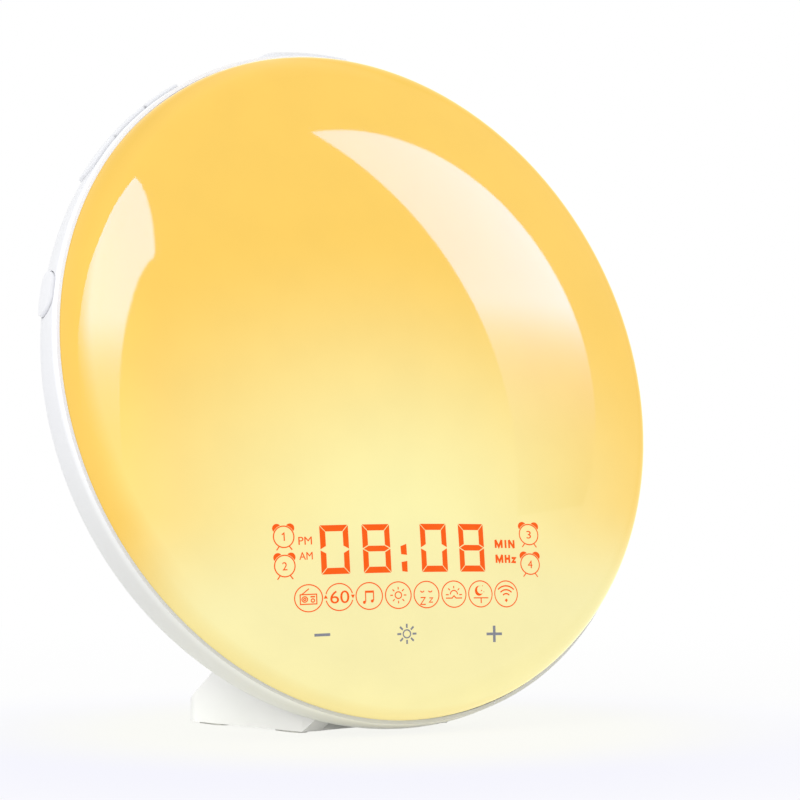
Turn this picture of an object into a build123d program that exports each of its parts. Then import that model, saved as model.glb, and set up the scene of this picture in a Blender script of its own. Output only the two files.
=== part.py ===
from build123d import *
from math import asin, atan2, cos, degrees, radians, sin, sqrt
import os

# Round bedside wake-up light with a clock display, standing on a wedge foot.
# Millimetres. +Z is up, X runs across, and the face looks towards -Y and leans back. The origin is on
# the table, under the middle of the whole light.
# Lamp coordinates: x across, v up the leaning face, n forward out of it, all from the rim's centre.

# ---------------------------------------------------------------- driving dimensions
# Diffuser
face_diameter = 188.0
face_bulge = 22.0
rim_round = 12.0
diffuser_wall = 2.2
diffuser_seat = 1.0
lean = 15.0
rim_clearance = 1.0

# Housing
lip_width = 1.2
crown_swell = 0.2
crown_depth = 4.0
side_round = 18.0
side_turn = 50.0
housing_depth = 32.0
housing_wall = 2.6
seat_clearance = 0.2

# Snap tabs on the diffuser, and the catch rib that they hook under
tab_angles = (18.0, 62.0, 95.0, 125.0, 155.0)
tab_sweep = 5.0
tab_thickness = 1.4
tab_length = 7.5
hook_reach = 0.8
catch_depth = 3.2
catch_height = 1.6
snap_clearance = 0.2

# Keys round the rim
key_level = 7.0
key_proud = 1.0
snooze_proud = 2.0
key_edge_round = 0.5
key_gap = 0.3
key_travel = 0.5
groove = 0.8
snooze_length = 30.0
snooze_width = 9.0
snooze_corner = 3.5
oval_length = 12.4
oval_width = 9.2
strip_length = 44.0
strip_width = 7.6
strip_middle = 15.0
strip_angle = 40.0
oval_angle = 75.0
flange_width = 1.0
flange_thickness = 1.4
flange_gap = 0.25
stem_radius = 1.6

# Tact switches and their boards
switch_radius = 83.1
switch_size = 6.0
switch_height = 3.5
plunger_radius = 1.7
plunger_clearance = 0.06
plunger_proud = 1.5
plunger_engaged = 2.1
board_thickness = 1.6
key_board_width = 11.2
short_board_length = 20.0
long_board_length = 40.0
bracket_thickness = 2.2

# Reflector dish and lamp board
dish_floor = 8.0
dish_floor_radius = 59.0
dish_flange_radius = 73.0
dish_radius = 89.4
dish_seat = 0.5
dish_wall = 1.6
dish_hole = 5.0
boss_ring = 80.0
boss_radius = 3.2
boss_angles = (19.5, 62.0, 100.0, 150.0)
lamp_board_outer = 46.0
lamp_board_inner = 15.0
inner_lamp_ring = 24.0
outer_lamp_ring = 40.0
inner_lamps = 10
outer_lamps = 18
lamp_length = 3.5
lamp_width = 2.8
lamp_height = 1.9
lamp_screw_ring = 32.0

# Display
display_x = -5.0
display_level = 4.0
display_width = 90.0
display_bottom = -71.5
display_top = -32.5
touch_strip_width = 68.0
touch_strip_bottom = -79.0
shroud_height = 30.5
shroud_top = -39.5
shroud_gap = 0.8
shroud_corner = 5.0
digit_height = 12.7
digit_width = 8.5
segment_width = 1.5
segment_gap = 0.35
digit_places = (-29.9, -17.2, 1.1, 13.8)
digit_level = -51.1
colon_place = -8.8
colon_rise = 2.25
colon_height = 2.6
icon_radius = 3.9
icon_count = 8
icon_pitch = 9.05
icon_row_x = -6.6
icon_level = -63.4
alarm_radius = 3.2
alarm_margin = 5.4
alarm_levels = (-47.4, -55.1)
left_word_place = -38.5
left_word_width = 4.4
left_word_levels = (-48.6, -52.5)
right_word_place = 25.5
right_word_width = 7.6
right_word_levels = (-50.0, -54.0)
word_height = 2.4
touch_places = (-34.5, -8.7, 20.5)
touch_level = -73.5
touch_radius = 3.0
touch_gap = 0.1
display_led = 1.6
cable_width = 14.0
cable_thickness = 0.3
cable_level = -46.0
cable_slack = 2.0

# Works inside the housing
main_board_width = 72.0
main_board_height = 28.0
main_board_level = -36.0
main_board_depth = 24.4
wifi_x = 22.0
wifi_width = 13.0
wifi_height = 20.0
wifi_board = 0.8
wifi_shield = 2.2
chip_height = 1.5
large_chip = 10.0
large_chip_place = (-6.0, 4.0)
small_chip_width = 7.0
small_chip_height = 5.0
small_chip_places = ((-22.0, 6.0), (8.0, 7.0))
capacitor_radius = 3.1
capacitor_height = 7.5
capacitor_places = ((-27.0, -6.0), (-19.0, -6.0), (10.0, -5.0))
speaker_level = 16.0
speaker_radius = 22.0
speaker_cone_radius = 17.0
speaker_magnet_radius = 11.0
speaker_magnet_length = 5.0
speaker_depth = 8.5
cone_depth = 2.1
cone_skin = 0.6
cap_radius = 5.0
cap_round = 7.0
roll_width = 2.5
grille_radius = 17.0
grille_slot = 2.0
grille_pitch = 4.0
works_side = 35.0
works_level = -4.0
jack_nose_radius = 4.0
jack_flange_radius = 6.0
jack_bore_radius = 2.8
jack_bore_depth = 9.3
jack_pin_radius = 1.0
jack_length = 13.0
bush_x = 40.0
bush_level = 16.0
bush_bore_radius = 0.8

# Back-up cell and its twist door
door_radius = 12.0
door_neck_radius = 10.5
door_thickness = 1.6
door_clearance = 0.25
door_turn = 60.0
lug_reach = 2.1
lug_thickness = 1.4
lug_width = 5.2
cell_radius = 10.0
cell_thickness = 3.2
cell_clearance = 0.25
contact_thickness = 0.3

# Foot
toe_setback = 10.8
foot_depth = 50.1
foot_front_width = 48.0
foot_back_width = 64.0
foot_setback = 3.0
toe_width = 6.0
toe_reach = 6.8
toe_rise = 4.1
heel_height = 4.0
heel_slope = 2.0
heel_round = 2.6
back_hollow = (0.63, 0.31)
back_neck = (0.385, 0.68)
foot_corner_round = 6.0
foot_wall = 2.4
sole_width = 7.0
sole_height = 5.5
pad_proud = 0.5
pad_recess = 0.7
pad_length = 12.0
pad_width = 4.6
cover_thickness = 1.8
cover_recess = 1.9
cover_gap = 0.2
foot_gap = 0.15
foot_screw_x = 16.0
foot_screw_setback = 20.4
cover_screw_setback = 35.4
foot_thread_height = 35.0

# Fasteners
screw_shank = 1.2
screw_head = 2.4
screw_head_height = 1.4
screw_length = 6.0
small_shank = 0.8
small_head = 1.6
small_head_height = 1.0
small_length = 3.2
long_shank = 1.5
long_head = 2.8
foot_screw_length = 16.0
screw_clearance = 0.05

# ---------------------------------------------------------------- derived dimensions
face_radius = face_diameter / 2
lean_cos = cos(radians(lean))
lean_sin = sin(radians(lean))

rim_centre = face_radius - rim_round
dome_radius = (rim_centre**2 + face_bulge**2 - rim_round**2) / (2 * (face_bulge - rim_round))
dome_drop = dome_radius - face_bulge
dome_turn = degrees(atan2(rim_centre, dome_drop))

lip_inner = face_radius + seat_clearance
lip_radius = lip_inner + lip_width - seat_clearance
crown_radius = lip_radius + crown_swell
side_centre = crown_radius - side_round
back_rise = housing_depth - crown_depth - side_round * sin(radians(side_turn))
back_round = back_rise / (1 - sin(radians(side_turn)))
flat_radius = side_centre + (side_round - back_round) * cos(radians(side_turn))
back_centre = back_round - housing_depth
inside_depth = housing_depth - housing_wall
rim_height = side_centre * lean_cos + crown_depth * lean_sin + side_round + rim_clearance

if lean < dome_turn:
    front_reach = dome_radius - dome_drop * lean_cos
else:
    front_reach = rim_centre * lean_sin + rim_round
back_reach = flat_radius * lean_sin - back_centre * lean_cos + back_round
face_y = (front_reach - back_reach) / 2
lowest_y = face_y + crown_depth * lean_cos - side_centre * lean_sin
toe_y = lowest_y + toe_setback
heel_y = toe_y + foot_depth

# ---------------------------------------------------------------- frames
face = Plane(origin=(0, face_y, rim_height), x_dir=(1, 0, 0), z_dir=(0, -lean_cos, lean_sin))
across = face.x_dir
upward = face.y_dir
forward = face.z_dir
lamp_axis = Axis(face.origin, forward)


def lamp_point(x, v, n=0.0):
    """A point given in lamp coordinates."""
    return face.origin + across * x + upward * v + forward * n


def level(n, x=0.0, v=0.0):
    """A plane parallel to the rim, n forward of it, with its origin at (x, v)."""
    return Plane(origin=lamp_point(x, v, n), x_dir=across, z_dir=forward)


def outward(angle):
    """The direction out to the rim, angle degrees from the top towards -X."""
    return upward * cos(radians(angle)) - across * sin(radians(angle))


def section(angle=-90.0):
    """The plane through the lamp's axis and one direction: x is radius, y is forward."""
    direction = outward(angle)
    return Plane(origin=face.origin, x_dir=direction, z_dir=direction.cross(forward))


def section_at(x, v):
    """A section plane through a line parallel to the lamp's axis."""
    return Plane(origin=lamp_point(x, v), x_dir=across, z_dir=-upward)


def axis_at(x, v):
    return Axis(lamp_point(x, v), forward)


def key_plane(angle):
    """A plane square to a key's travel: x along the rim, y forward, z outward."""
    direction = outward(angle)
    centre = face.origin - forward * key_level
    return Plane(origin=centre, x_dir=forward.cross(direction), z_dir=direction)


# ---------------------------------------------------------------- shared forms
def bowl(grow=0.0):
    """The housing's outer form as a solid, with its skin moved out by grow."""
    with BuildPart(mode=Mode.PRIVATE) as form:
        with BuildSketch(section()):
            with BuildLine():
                lip = (lip_radius + grow, 0)
                crown = (crown_radius + grow, -crown_depth)
                bottom = (0, -housing_depth - grow)
                Line((0, 0), lip)
                Line(lip, crown)
                CenterArc((side_centre, -crown_depth), side_round + grow, 0, -side_turn)
                back = CenterArc(
                    (flat_radius, back_centre), back_round + grow, -side_turn, side_turn - 90
                )
                Line(back @ 1, bottom)
                Line(bottom, (0, 0))
            make_face()
        revolve(axis=lamp_axis)
    return form.part


def dome(inset=0.0):
    """The diffuser's outer form as a solid, with its skin moved in by inset."""
    with BuildPart(mode=Mode.PRIVATE) as form:
        with BuildSketch(section()):
            with BuildLine():
                large = CenterArc((0, -dome_drop), dome_radius - inset, 90, -dome_turn)
                rim = CenterArc((rim_centre, 0), rim_round - inset, 90 - dome_turn, dome_turn - 90)
                foot = (face_radius - inset, -diffuser_seat)
                Line(rim @ 1, foot)
                Line(foot, (0, -diffuser_seat))
                Line((0, -diffuser_seat), large @ 0)
            make_face()
        revolve(axis=lamp_axis)
    return form.part


def screw(plane, shank, length, head, head_height):
    """One pan-head screw: its head stands on the plane and its shank goes below it."""
    with BuildPart(mode=Mode.PRIVATE) as form:
        with BuildSketch(plane):
            Circle(head)
        extrude(amount=head_height)
        with BuildSketch(plane):
            Circle(shank)
        extrude(amount=-length)
        rim = form.faces().sort_by(Axis(plane.origin, plane.z_dir))[-1]
        fillet(rim.edges(), head_height / 3)
    return form.part


outer_form = bowl()
inner_form = bowl(-housing_wall)
rib_form = bowl(-housing_wall / 2)
flange_outer_form = bowl(-housing_wall - flange_gap)
flange_inner_form = bowl(-housing_wall - flange_gap - flange_thickness)
dome_form = dome()
dome_inner_form = dome(diffuser_wall)

# ---------------------------------------------------------------- diffuser
tab_outer = face_radius - diffuser_wall - snap_clearance - hook_reach / 2
tab_inner = tab_outer - tab_thickness
catch_inner = tab_outer + snap_clearance
hook_top = -catch_depth - catch_height - snap_clearance
root_radius = face_radius - diffuser_wall + snap_clearance

with BuildPart() as diffuser_dome:
    add(dome_form)
    add(dome_inner_form, mode=Mode.SUBTRACT)
    for side in (1, -1):
        for angle in tab_angles:
            with BuildSketch(section(side * angle - tab_sweep / 2)):
                Polygon(
                    (tab_inner, rim_round / 3),
                    (root_radius, rim_round / 3),
                    (root_radius, -diffuser_seat),
                    (tab_outer, -diffuser_seat - snap_clearance),
                    (tab_outer, hook_top),
                    (tab_outer + hook_reach, hook_top),
                    (tab_outer, -tab_length),
                    (tab_inner, -tab_length),
                    align=None,
                )
            revolve(axis=lamp_axis, revolution_arc=tab_sweep)
diffuser_dome.part.label = "diffuser_dome"

# ---------------------------------------------------------------- key outlines
STRIP_ENDS = {"strip_low": 1, "strip_high": -1}


def key_outline(kind, grow=0.0):
    """Draw one key's outline in the current sketch; grow widens it, but not at a groove."""
    if kind == "snooze":
        RectangleRounded(snooze_length + 2 * grow, snooze_width + 2 * grow, snooze_corner + grow)
    elif kind == "oval":
        SlotOverall(oval_length + 2 * grow, oval_width + 2 * grow)
    else:
        SlotOverall(strip_length + 2 * grow, strip_width + 2 * grow)
        if kind == "strip_middle":
            Circle(strip_middle / 2, mode=Mode.INTERSECT)
        elif kind in STRIP_ENDS:
            Circle(strip_middle / 2 + groove, mode=Mode.SUBTRACT)
            half = strip_length / 2 + 2 * grow
            with Locations((STRIP_ENDS[kind] * half / 2, 0)):
                Rectangle(half, 2 * strip_width, mode=Mode.INTERSECT)


strip_pitch = (strip_middle / 2 + groove + strip_length / 2) / 2

# name, angle, opening, board length, and its keys: name, outline, place along the board
key_groups = [("snooze", 0.0, "snooze", short_board_length, [("snooze_key", "snooze", 0.0)])]
for side_name, side in (("left", 1), ("right", -1)):
    strip_keys = [
        (f"upper_{side_name}_key_a", "strip_low", strip_pitch),
        (f"upper_{side_name}_key_b", "strip_middle", 0.0),
        (f"upper_{side_name}_key_c", "strip_high", -strip_pitch),
    ]
    oval_keys = [(f"lower_{side_name}_key", "oval", 0.0)]
    key_groups.append((f"upper_{side_name}", side * strip_angle, "strip", long_board_length, strip_keys))
    key_groups.append((f"lower_{side_name}", side * oval_angle, "oval", short_board_length, oval_keys))

# ---------------------------------------------------------------- rear housing
board_face = switch_radius - switch_height
board_back = board_face - board_thickness
bracket_back = board_back - bracket_thickness
key_board_half = key_board_width / 2
main_posts_x = main_board_width / 2 - 3.5
main_posts_v = main_board_height / 2 - 3.5
pad_ring_inner = speaker_cone_radius + 1.2
speaker_seat = inside_depth - 2.0
grille_rows = int(grille_radius / grille_pitch)
foot_boss_radius = long_head + 1.2
foot_thread_top = foot_thread_height
foot_screw_y = toe_y + foot_screw_setback
foot_screw_places = [(foot_screw_x, foot_screw_y), (-foot_screw_x, foot_screw_y)]

with BuildPart() as rear_housing:
    # Bosses for the reflector, posts for the main board and ribs behind the key boards
    with BuildSketch(level(-dish_seat)):
        for angle in boss_angles:
            for side in (1, -1):
                place = (side * boss_ring * sin(radians(angle)), boss_ring * cos(radians(angle)))
                with Locations(place):
                    Circle(boss_radius)
    extrude(amount=-housing_depth)
    with BuildSketch(level(-main_board_depth, v=main_board_level)):
        with GridLocations(2 * main_posts_x, 2 * main_posts_v, 2, 2):
            Circle(boss_radius)
    extrude(amount=-housing_depth)
    with BuildSketch(level(-speaker_seat, v=speaker_level)):
        Circle(speaker_radius + 0.5)
        Circle(pad_ring_inner, mode=Mode.SUBTRACT)
    extrude(amount=-housing_depth)
    for name, angle, opening, board_length, keys in key_groups:
        with BuildSketch(key_plane(angle).offset(bracket_back)):
            with Locations((0, key_board_half)):
                Rectangle(board_length, 2 * housing_depth, align=(Align.CENTER, Align.MAX))
        extrude(amount=bracket_thickness)
    with BuildSketch(Plane.XY.offset(foot_thread_top)):
        with Locations(*foot_screw_places):
            Circle(long_shank + 2.2)
    extrude(amount=-foot_thread_top / 2)
    add(rib_form, mode=Mode.INTERSECT)
    # The shell and the catch rib for the snap tabs
    with BuildPart(mode=Mode.PRIVATE) as shell:
        add(outer_form)
        add(inner_form, mode=Mode.SUBTRACT)
    add(shell.part)
    with BuildSketch(section()):
        Polygon(
            (catch_inner, -catch_depth - catch_height),
            (catch_inner, -catch_depth),
            (crown_radius - housing_wall / 2, -catch_depth + hook_reach),
            (crown_radius - housing_wall / 2, -catch_depth - catch_height),
            align=None,
        )
    revolve(axis=lamp_axis)
    # The rabbet that seats the diffuser inside the lip
    with BuildSketch(level(0)):
        Circle(lip_inner)
    extrude(amount=-diffuser_seat, mode=Mode.SUBTRACT)
    # Openings for the keys, clear of the catch rib round their flanges
    for name, angle, opening, board_length, keys in key_groups:
        with BuildSketch(key_plane(angle).offset(switch_radius)):
            key_outline(opening, key_gap)
        extrude(amount=face_radius, mode=Mode.SUBTRACT)
        with BuildPart(mode=Mode.PRIVATE) as relief:
            with BuildSketch(key_plane(angle).offset(switch_radius)):
                key_outline(opening, flange_width + 2 * key_gap)
            extrude(amount=face_radius)
            add(inner_form, mode=Mode.INTERSECT)
        add(relief.part, mode=Mode.SUBTRACT)
    # Speaker grille: round-ended slots that fill a circle
    with BuildSketch(level(-inside_depth, v=speaker_level)):
        for row in range(-grille_rows, grille_rows + 1):
            height = row * grille_pitch
            with Locations((0, height)):
                SlotOverall(2 * sqrt(grille_radius**2 - height**2) - grille_slot, grille_slot)
    extrude(amount=-2 * housing_wall, mode=Mode.SUBTRACT)
    # Power inlet, aerial bush and the twist door's stepped hole with its two lug notches
    with BuildSketch(level(-inside_depth, works_side, works_level)):
        Circle(jack_nose_radius + door_clearance / 2)
    extrude(amount=-2 * housing_wall, mode=Mode.SUBTRACT)
    with BuildSketch(level(-inside_depth, bush_x, bush_level)):
        Circle(bush_bore_radius + 1.4)
    extrude(amount=-2 * housing_wall, mode=Mode.SUBTRACT)
    with BuildSketch(level(-housing_depth, -works_side, works_level)):
        Circle(door_radius + door_clearance)
    extrude(amount=door_thickness, mode=Mode.SUBTRACT)
    with BuildSketch(level(-housing_depth, -works_side, works_level)):
        Circle(door_neck_radius + door_clearance)
    extrude(amount=housing_wall, mode=Mode.SUBTRACT)
    with BuildSketch(level(-inside_depth, -works_side, works_level)):
        Circle(door_neck_radius + lug_reach + door_clearance)
        Rectangle(
            4 * door_radius, lug_width + 3 * door_clearance, rotation=-door_turn, mode=Mode.INTERSECT
        )
    extrude(amount=-housing_wall, mode=Mode.SUBTRACT)
    # Screw holes
    with BuildSketch(level(-dish_seat)):
        for angle in boss_angles:
            for side in (1, -1):
                place = (side * boss_ring * sin(radians(angle)), boss_ring * cos(radians(angle)))
                with Locations(place):
                    Circle(screw_shank + screw_clearance)
    extrude(amount=-screw_length, mode=Mode.SUBTRACT)
    with BuildSketch(level(-main_board_depth, v=main_board_level)):
        with GridLocations(2 * main_posts_x, 2 * main_posts_v, 2, 2):
            Circle(small_shank + screw_clearance)
    extrude(amount=-small_length, mode=Mode.SUBTRACT)
    with BuildSketch(level(-speaker_seat, v=speaker_level)):
        with PolarLocations(speaker_radius - small_head - 0.4, 4, start_angle=45):
            Circle(small_shank + screw_clearance)
    extrude(amount=-small_length, mode=Mode.SUBTRACT)
    for name, angle, opening, board_length, keys in key_groups:
        hole_pitch = strip_pitch if len(keys) > 1 else board_length - 2 * small_head - 1.5
        with BuildSketch(key_plane(angle).offset(board_back)):
            with GridLocations(hole_pitch, 1, 2, 1):
                Circle(small_shank + screw_clearance)
        extrude(amount=-small_length, mode=Mode.SUBTRACT)
    with BuildSketch(Plane.XY.offset(foot_thread_top - 1)):
        with Locations(*foot_screw_places):
            Circle(long_shank + screw_clearance)
    extrude(amount=-foot_thread_top / 2, mode=Mode.SUBTRACT)
rear_housing.part.label = "rear_housing"

# ---------------------------------------------------------------- keys and their switch plungers
stem_foot = switch_radius + plunger_proud
moving_pieces = []

for name, angle, opening, board_length, keys in key_groups:
    plane = key_plane(angle)
    for key_name, kind, place in keys:
        # The stem that carries the push from the key to its switch
        with BuildPart(mode=Mode.PRIVATE) as stem:
            with BuildSketch(plane.offset(stem_foot)):
                with Locations((place, 0)):
                    Circle(stem_radius)
            extrude(amount=face_radius)
            add(flange_outer_form, mode=Mode.INTERSECT)
        # A flange that lies against the inside of the wall, and the cap that stands out through it
        with BuildPart() as key:
            with BuildSketch(plane.offset(stem_foot)):
                key_outline(kind, flange_width)
            extrude(amount=face_radius)
            add(flange_outer_form, mode=Mode.INTERSECT)
            with BuildSketch(plane.offset(stem_foot)):
                key_outline(kind)
            extrude(amount=face_radius)
            add(bowl(snooze_proud if kind == "snooze" else key_proud), mode=Mode.INTERSECT)
            add(flange_inner_form, mode=Mode.SUBTRACT)
            top = key.faces().sort_by(Axis(plane.origin, plane.z_dir))[-1]
            fillet(top.edges(), key_edge_round)
            add(stem.part)
        key.part.label = key_name
        moving_pieces.append(key)
        with BuildPart() as plunger:
            with BuildSketch(plane.offset(switch_radius - plunger_engaged)):
                with Locations((place, 0)):
                    Circle(plunger_radius - plunger_clearance)
            extrude(amount=plunger_engaged + plunger_proud)
        plunger.part.label = key_name.replace("key", "plunger")
        moving_pieces.append(plunger)

# ---------------------------------------------------------------- tact switches and key boards
key_boards = []
for name, angle, opening, board_length, keys in key_groups:
    hole_pitch = strip_pitch if len(keys) > 1 else board_length - 2 * small_head - 1.5
    with BuildPart() as board:
        with BuildSketch(key_plane(angle).offset(board_back)):
            RectangleRounded(board_length, key_board_width, 1.0)
            with GridLocations(hole_pitch, 1, 2, 1):
                Circle(small_shank + screw_clearance, mode=Mode.SUBTRACT)
        extrude(amount=board_thickness)
    board.part.label = f"{name}_key_board"
    key_boards.append(board)

with BuildPart() as switch_bodies:
    for name, angle, opening, board_length, keys in key_groups:
        for key_name, kind, place in keys:
            with BuildSketch(key_plane(angle).offset(board_face)):
                with Locations((place, 0)):
                    Rectangle(switch_size, switch_size)
            extrude(amount=switch_height)
            with BuildSketch(key_plane(angle).offset(switch_radius)):
                with Locations((place, 0)):
                    Circle(plunger_radius)
            extrude(amount=-plunger_engaged - key_travel - 0.2, mode=Mode.SUBTRACT)
switch_bodies.part.label = "switch_bodies"

with BuildPart() as key_board_screws:
    for name, angle, opening, board_length, keys in key_groups:
        hole_pitch = strip_pitch if len(keys) > 1 else board_length - 2 * small_head - 1.5
        for place in (-hole_pitch / 2, hole_pitch / 2):
            plane = key_plane(angle).offset(board_face)
            seat = Plane(origin=plane.origin + plane.x_dir * place, x_dir=plane.x_dir, z_dir=plane.z_dir)
            add(screw(seat, small_shank, small_length, small_head, small_head_height))
key_board_screws.part.label = "key_board_screws"

# ---------------------------------------------------------------- reflector dish and its screws
display_posts_x = display_width / 2 - 4.0
display_posts_v = display_top - 3.2
low_posts_x = ((touch_places[0] + touch_places[1]) / 2, (touch_places[1] + touch_places[2]) / 2)
low_posts_v = touch_level - 1.5
dish_screw_places = []
for angle in boss_angles:
    for side in (1, -1):
        dish_screw_places.append((side * boss_ring * sin(radians(angle)), boss_ring * cos(radians(angle))))
display_screw_places = [
    (display_x - display_posts_x, display_posts_v),
    (display_x + display_posts_x, display_posts_v),
    (low_posts_x[0], low_posts_v),
    (low_posts_x[1], low_posts_v),
]

with BuildPart() as reflector_dish:
    with BuildSketch(section()):
        Polygon(
            (dish_hole, -dish_floor),
            (dish_floor_radius, -dish_floor),
            (dish_flange_radius, -dish_seat),
            (dish_radius, -dish_seat),
            (dish_radius, dish_wall - dish_seat),
            (dish_flange_radius - dish_wall / 2, dish_wall - dish_seat),
            (dish_floor_radius - dish_wall / 2, dish_wall - dish_floor),
            (dish_hole, dish_wall - dish_floor),
            align=None,
        )
    revolve(axis=lamp_axis)
    # Posts for the display board, and bosses behind the floor for the lamp board's screws
    with BuildSketch(level(display_level)):
        with Locations(*display_screw_places[:2]):
            Circle(boss_radius - 0.4)
    extrude(amount=-display_level - dish_floor + dish_wall / 2)
    with BuildSketch(level(display_level)):
        with Locations(*display_screw_places[2:]):
            Circle(boss_radius - 0.4)
    extrude(amount=-display_level)
    with BuildSketch(level(-dish_floor)):
        with PolarLocations(lamp_screw_ring, 3, start_angle=90):
            Circle(boss_radius - 0.4)
    extrude(amount=-boss_radius)
    # Holes for the screws and a slot for the display's flat cable
    with BuildSketch(level(dish_wall)):
        with Locations(*dish_screw_places):
            Circle(screw_shank + screw_clearance)
    extrude(amount=-2 * dish_wall, mode=Mode.SUBTRACT)
    with BuildSketch(level(display_level)):
        with Locations(*display_screw_places):
            Circle(small_shank + screw_clearance)
    extrude(amount=-small_length, mode=Mode.SUBTRACT)
    with BuildSketch(level(dish_wall - dish_floor)):
        with PolarLocations(lamp_screw_ring, 3, start_angle=90):
            Circle(small_shank + screw_clearance)
    extrude(amount=-small_length, mode=Mode.SUBTRACT)
    with BuildSketch(level(dish_wall - dish_floor, display_x, cable_level)):
        SlotOverall(cable_width + 4, 10 * cable_thickness)
    extrude(amount=-2 * dish_wall, mode=Mode.SUBTRACT)
reflector_dish.part.label = "reflector_dish"

with BuildPart() as reflector_screws:
    for x, v in dish_screw_places:
        seat = level(dish_wall - dish_seat, x, v)
        add(screw(seat, screw_shank, screw_length, screw_head, screw_head_height))
reflector_screws.part.label = "reflector_screws"

# ---------------------------------------------------------------- lamp board
lamp_board_back = dish_wall - dish_floor
lamp_board_face = lamp_board_back + board_thickness

with BuildPart() as led_board:
    with BuildSketch(level(lamp_board_back)):
        Circle(lamp_board_outer)
        Circle(lamp_board_inner, mode=Mode.SUBTRACT)
        with PolarLocations(lamp_screw_ring, 3, start_angle=90):
            Circle(small_shank + screw_clearance, mode=Mode.SUBTRACT)
        with Locations((display_x, cable_level)):
            Rectangle(cable_width + 6, 8, mode=Mode.SUBTRACT)
    extrude(amount=board_thickness)
led_board.part.label = "led_board"

with BuildPart() as light_leds:
    with BuildSketch(level(lamp_board_face)):
        with PolarLocations(inner_lamp_ring, inner_lamps):
            Rectangle(lamp_length, lamp_width)
        with PolarLocations(outer_lamp_ring, outer_lamps, start_angle=360 / outer_lamps / 2):
            Rectangle(lamp_length, lamp_width)
    extrude(amount=lamp_height, taper=8)
light_leds.part.label = "light_leds"

with BuildPart() as led_board_screws:
    for turn in (90, 210, 330):
        place = (lamp_screw_ring * cos(radians(turn)), lamp_screw_ring * sin(radians(turn)))
        seat = level(lamp_board_face, *place)
        add(screw(seat, small_shank, small_length, small_head, small_head_height))
led_board_screws.part.label = "led_board_screws"

# ---------------------------------------------------------------- display
shroud_base = display_level + board_thickness
shroud_level = shroud_top - shroud_height / 2
alarm_reach = display_width / 2 - alarm_margin
first_icon_x = icon_row_x - icon_pitch * (icon_count - 1) / 2
icon_spots = [(first_icon_x + number * icon_pitch, icon_level) for number in range(icon_count)]
alarm_spots = [(display_x + side * alarm_reach, v) for side in (-1, 1) for v in alarm_levels]
left_word_spots = [(left_word_place, v) for v in left_word_levels]
right_word_spots = [(right_word_place, v) for v in right_word_levels]
digit_spots = [(x, digit_level) for x in digit_places]
colon_spots = [(colon_place, digit_level - colon_rise), (colon_place, digit_level + colon_rise)]


def segment(length):
    """One light segment: a bar with mitred ends, lying along x."""
    tip = segment_width / 2
    Polygon(
        (-length / 2, 0),
        (-length / 2 + tip, tip),
        (length / 2 - tip, tip),
        (length / 2, 0),
        (length / 2 - tip, -tip),
        (-length / 2 + tip, -tip),
    )


def digit_segments():
    """The seven segments of one digit, in the current sketch."""
    side_x = (digit_width - segment_width) / 2
    side_v = (digit_height - segment_width) / 4
    with Locations((0, -2 * side_v), (0, 0), (0, 2 * side_v)):
        segment(digit_width - segment_width - 2 * segment_gap)
    with Locations(*[Location((x, v), 90) for x in (-side_x, side_x) for v in (-side_v, side_v)]):
        segment(2 * side_v - 2 * segment_gap)


with BuildPart() as display_shroud:
    with BuildSketch(level(shroud_base, display_x, shroud_level)):
        RectangleRounded(display_width - 1, shroud_height, shroud_corner)
    extrude(amount=face_bulge)
    add(dome(diffuser_wall + shroud_gap), mode=Mode.INTERSECT)
    for x, v in digit_spots:
        with BuildSketch(level(shroud_base, x, v)):
            digit_segments()
        extrude(amount=face_bulge, mode=Mode.SUBTRACT)
    with BuildSketch(level(shroud_base)):
        with Locations(*icon_spots):
            Circle(icon_radius)
        with Locations(*alarm_spots):
            Circle(alarm_radius)
        with Locations(*left_word_spots):
            Rectangle(left_word_width, word_height)
        with Locations(*right_word_spots):
            Rectangle(right_word_width, word_height)
        with Locations(*colon_spots):
            Rectangle(segment_width + 0.3, colon_height)
    extrude(amount=face_bulge, mode=Mode.SUBTRACT)
display_shroud.part.label = "display_shroud"

with BuildPart() as display_board:
    with BuildSketch(level(display_level)):
        with Locations((display_x, (display_top + display_bottom) / 2)):
            RectangleRounded(display_width, display_top - display_bottom, 5.0)
        with Locations((display_x, (display_bottom + touch_strip_bottom) / 2)):
            RectangleRounded(touch_strip_width, display_bottom - touch_strip_bottom + 4, 2.0)
        with Locations(*display_screw_places):
            Circle(small_shank + screw_clearance, mode=Mode.SUBTRACT)
    extrude(amount=board_thickness)
display_board.part.label = "display_board"

with BuildPart() as display_leds:
    with BuildSketch(level(shroud_base)):
        with Locations(*icon_spots, *alarm_spots, *left_word_spots, *right_word_spots):
            Rectangle(display_led, display_led / 2)
        for x, v in digit_spots:
            for row in (-1, 0, 1):
                with Locations((x, v + row * (digit_height - segment_width) / 2)):
                    Rectangle(display_led, display_led / 2)
            for column in (-1, 1):
                for row in (-1, 1):
                    spot_x = x + column * (digit_width - segment_width) / 2
                    with Locations((spot_x, v + row * (digit_height - segment_width) / 4)):
                        Rectangle(display_led / 2, display_led)
        with Locations(*colon_spots):
            Rectangle(display_led / 2, display_led)
    extrude(amount=0.6)
display_leds.part.label = "display_leds"

with BuildPart() as touch_pads:
    with BuildSketch(level(shroud_base)):
        with Locations(*[(x, touch_level) for x in touch_places]):
            Circle(touch_radius)
    extrude(amount=face_bulge)
    add(dome(diffuser_wall + touch_gap), mode=Mode.INTERSECT)
touch_pads.part.label = "touch_pads"

with BuildPart() as display_screws:
    for x, v in display_screw_places:
        seat = level(shroud_base, x, v)
        add(screw(seat, small_shank, small_length, small_head, small_head_height))
display_screws.part.label = "display_screws"

# ---------------------------------------------------------------- main board and what it carries
main_face = board_thickness - main_board_depth
socket_height = 2.5
cable_start = main_face + socket_height

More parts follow.
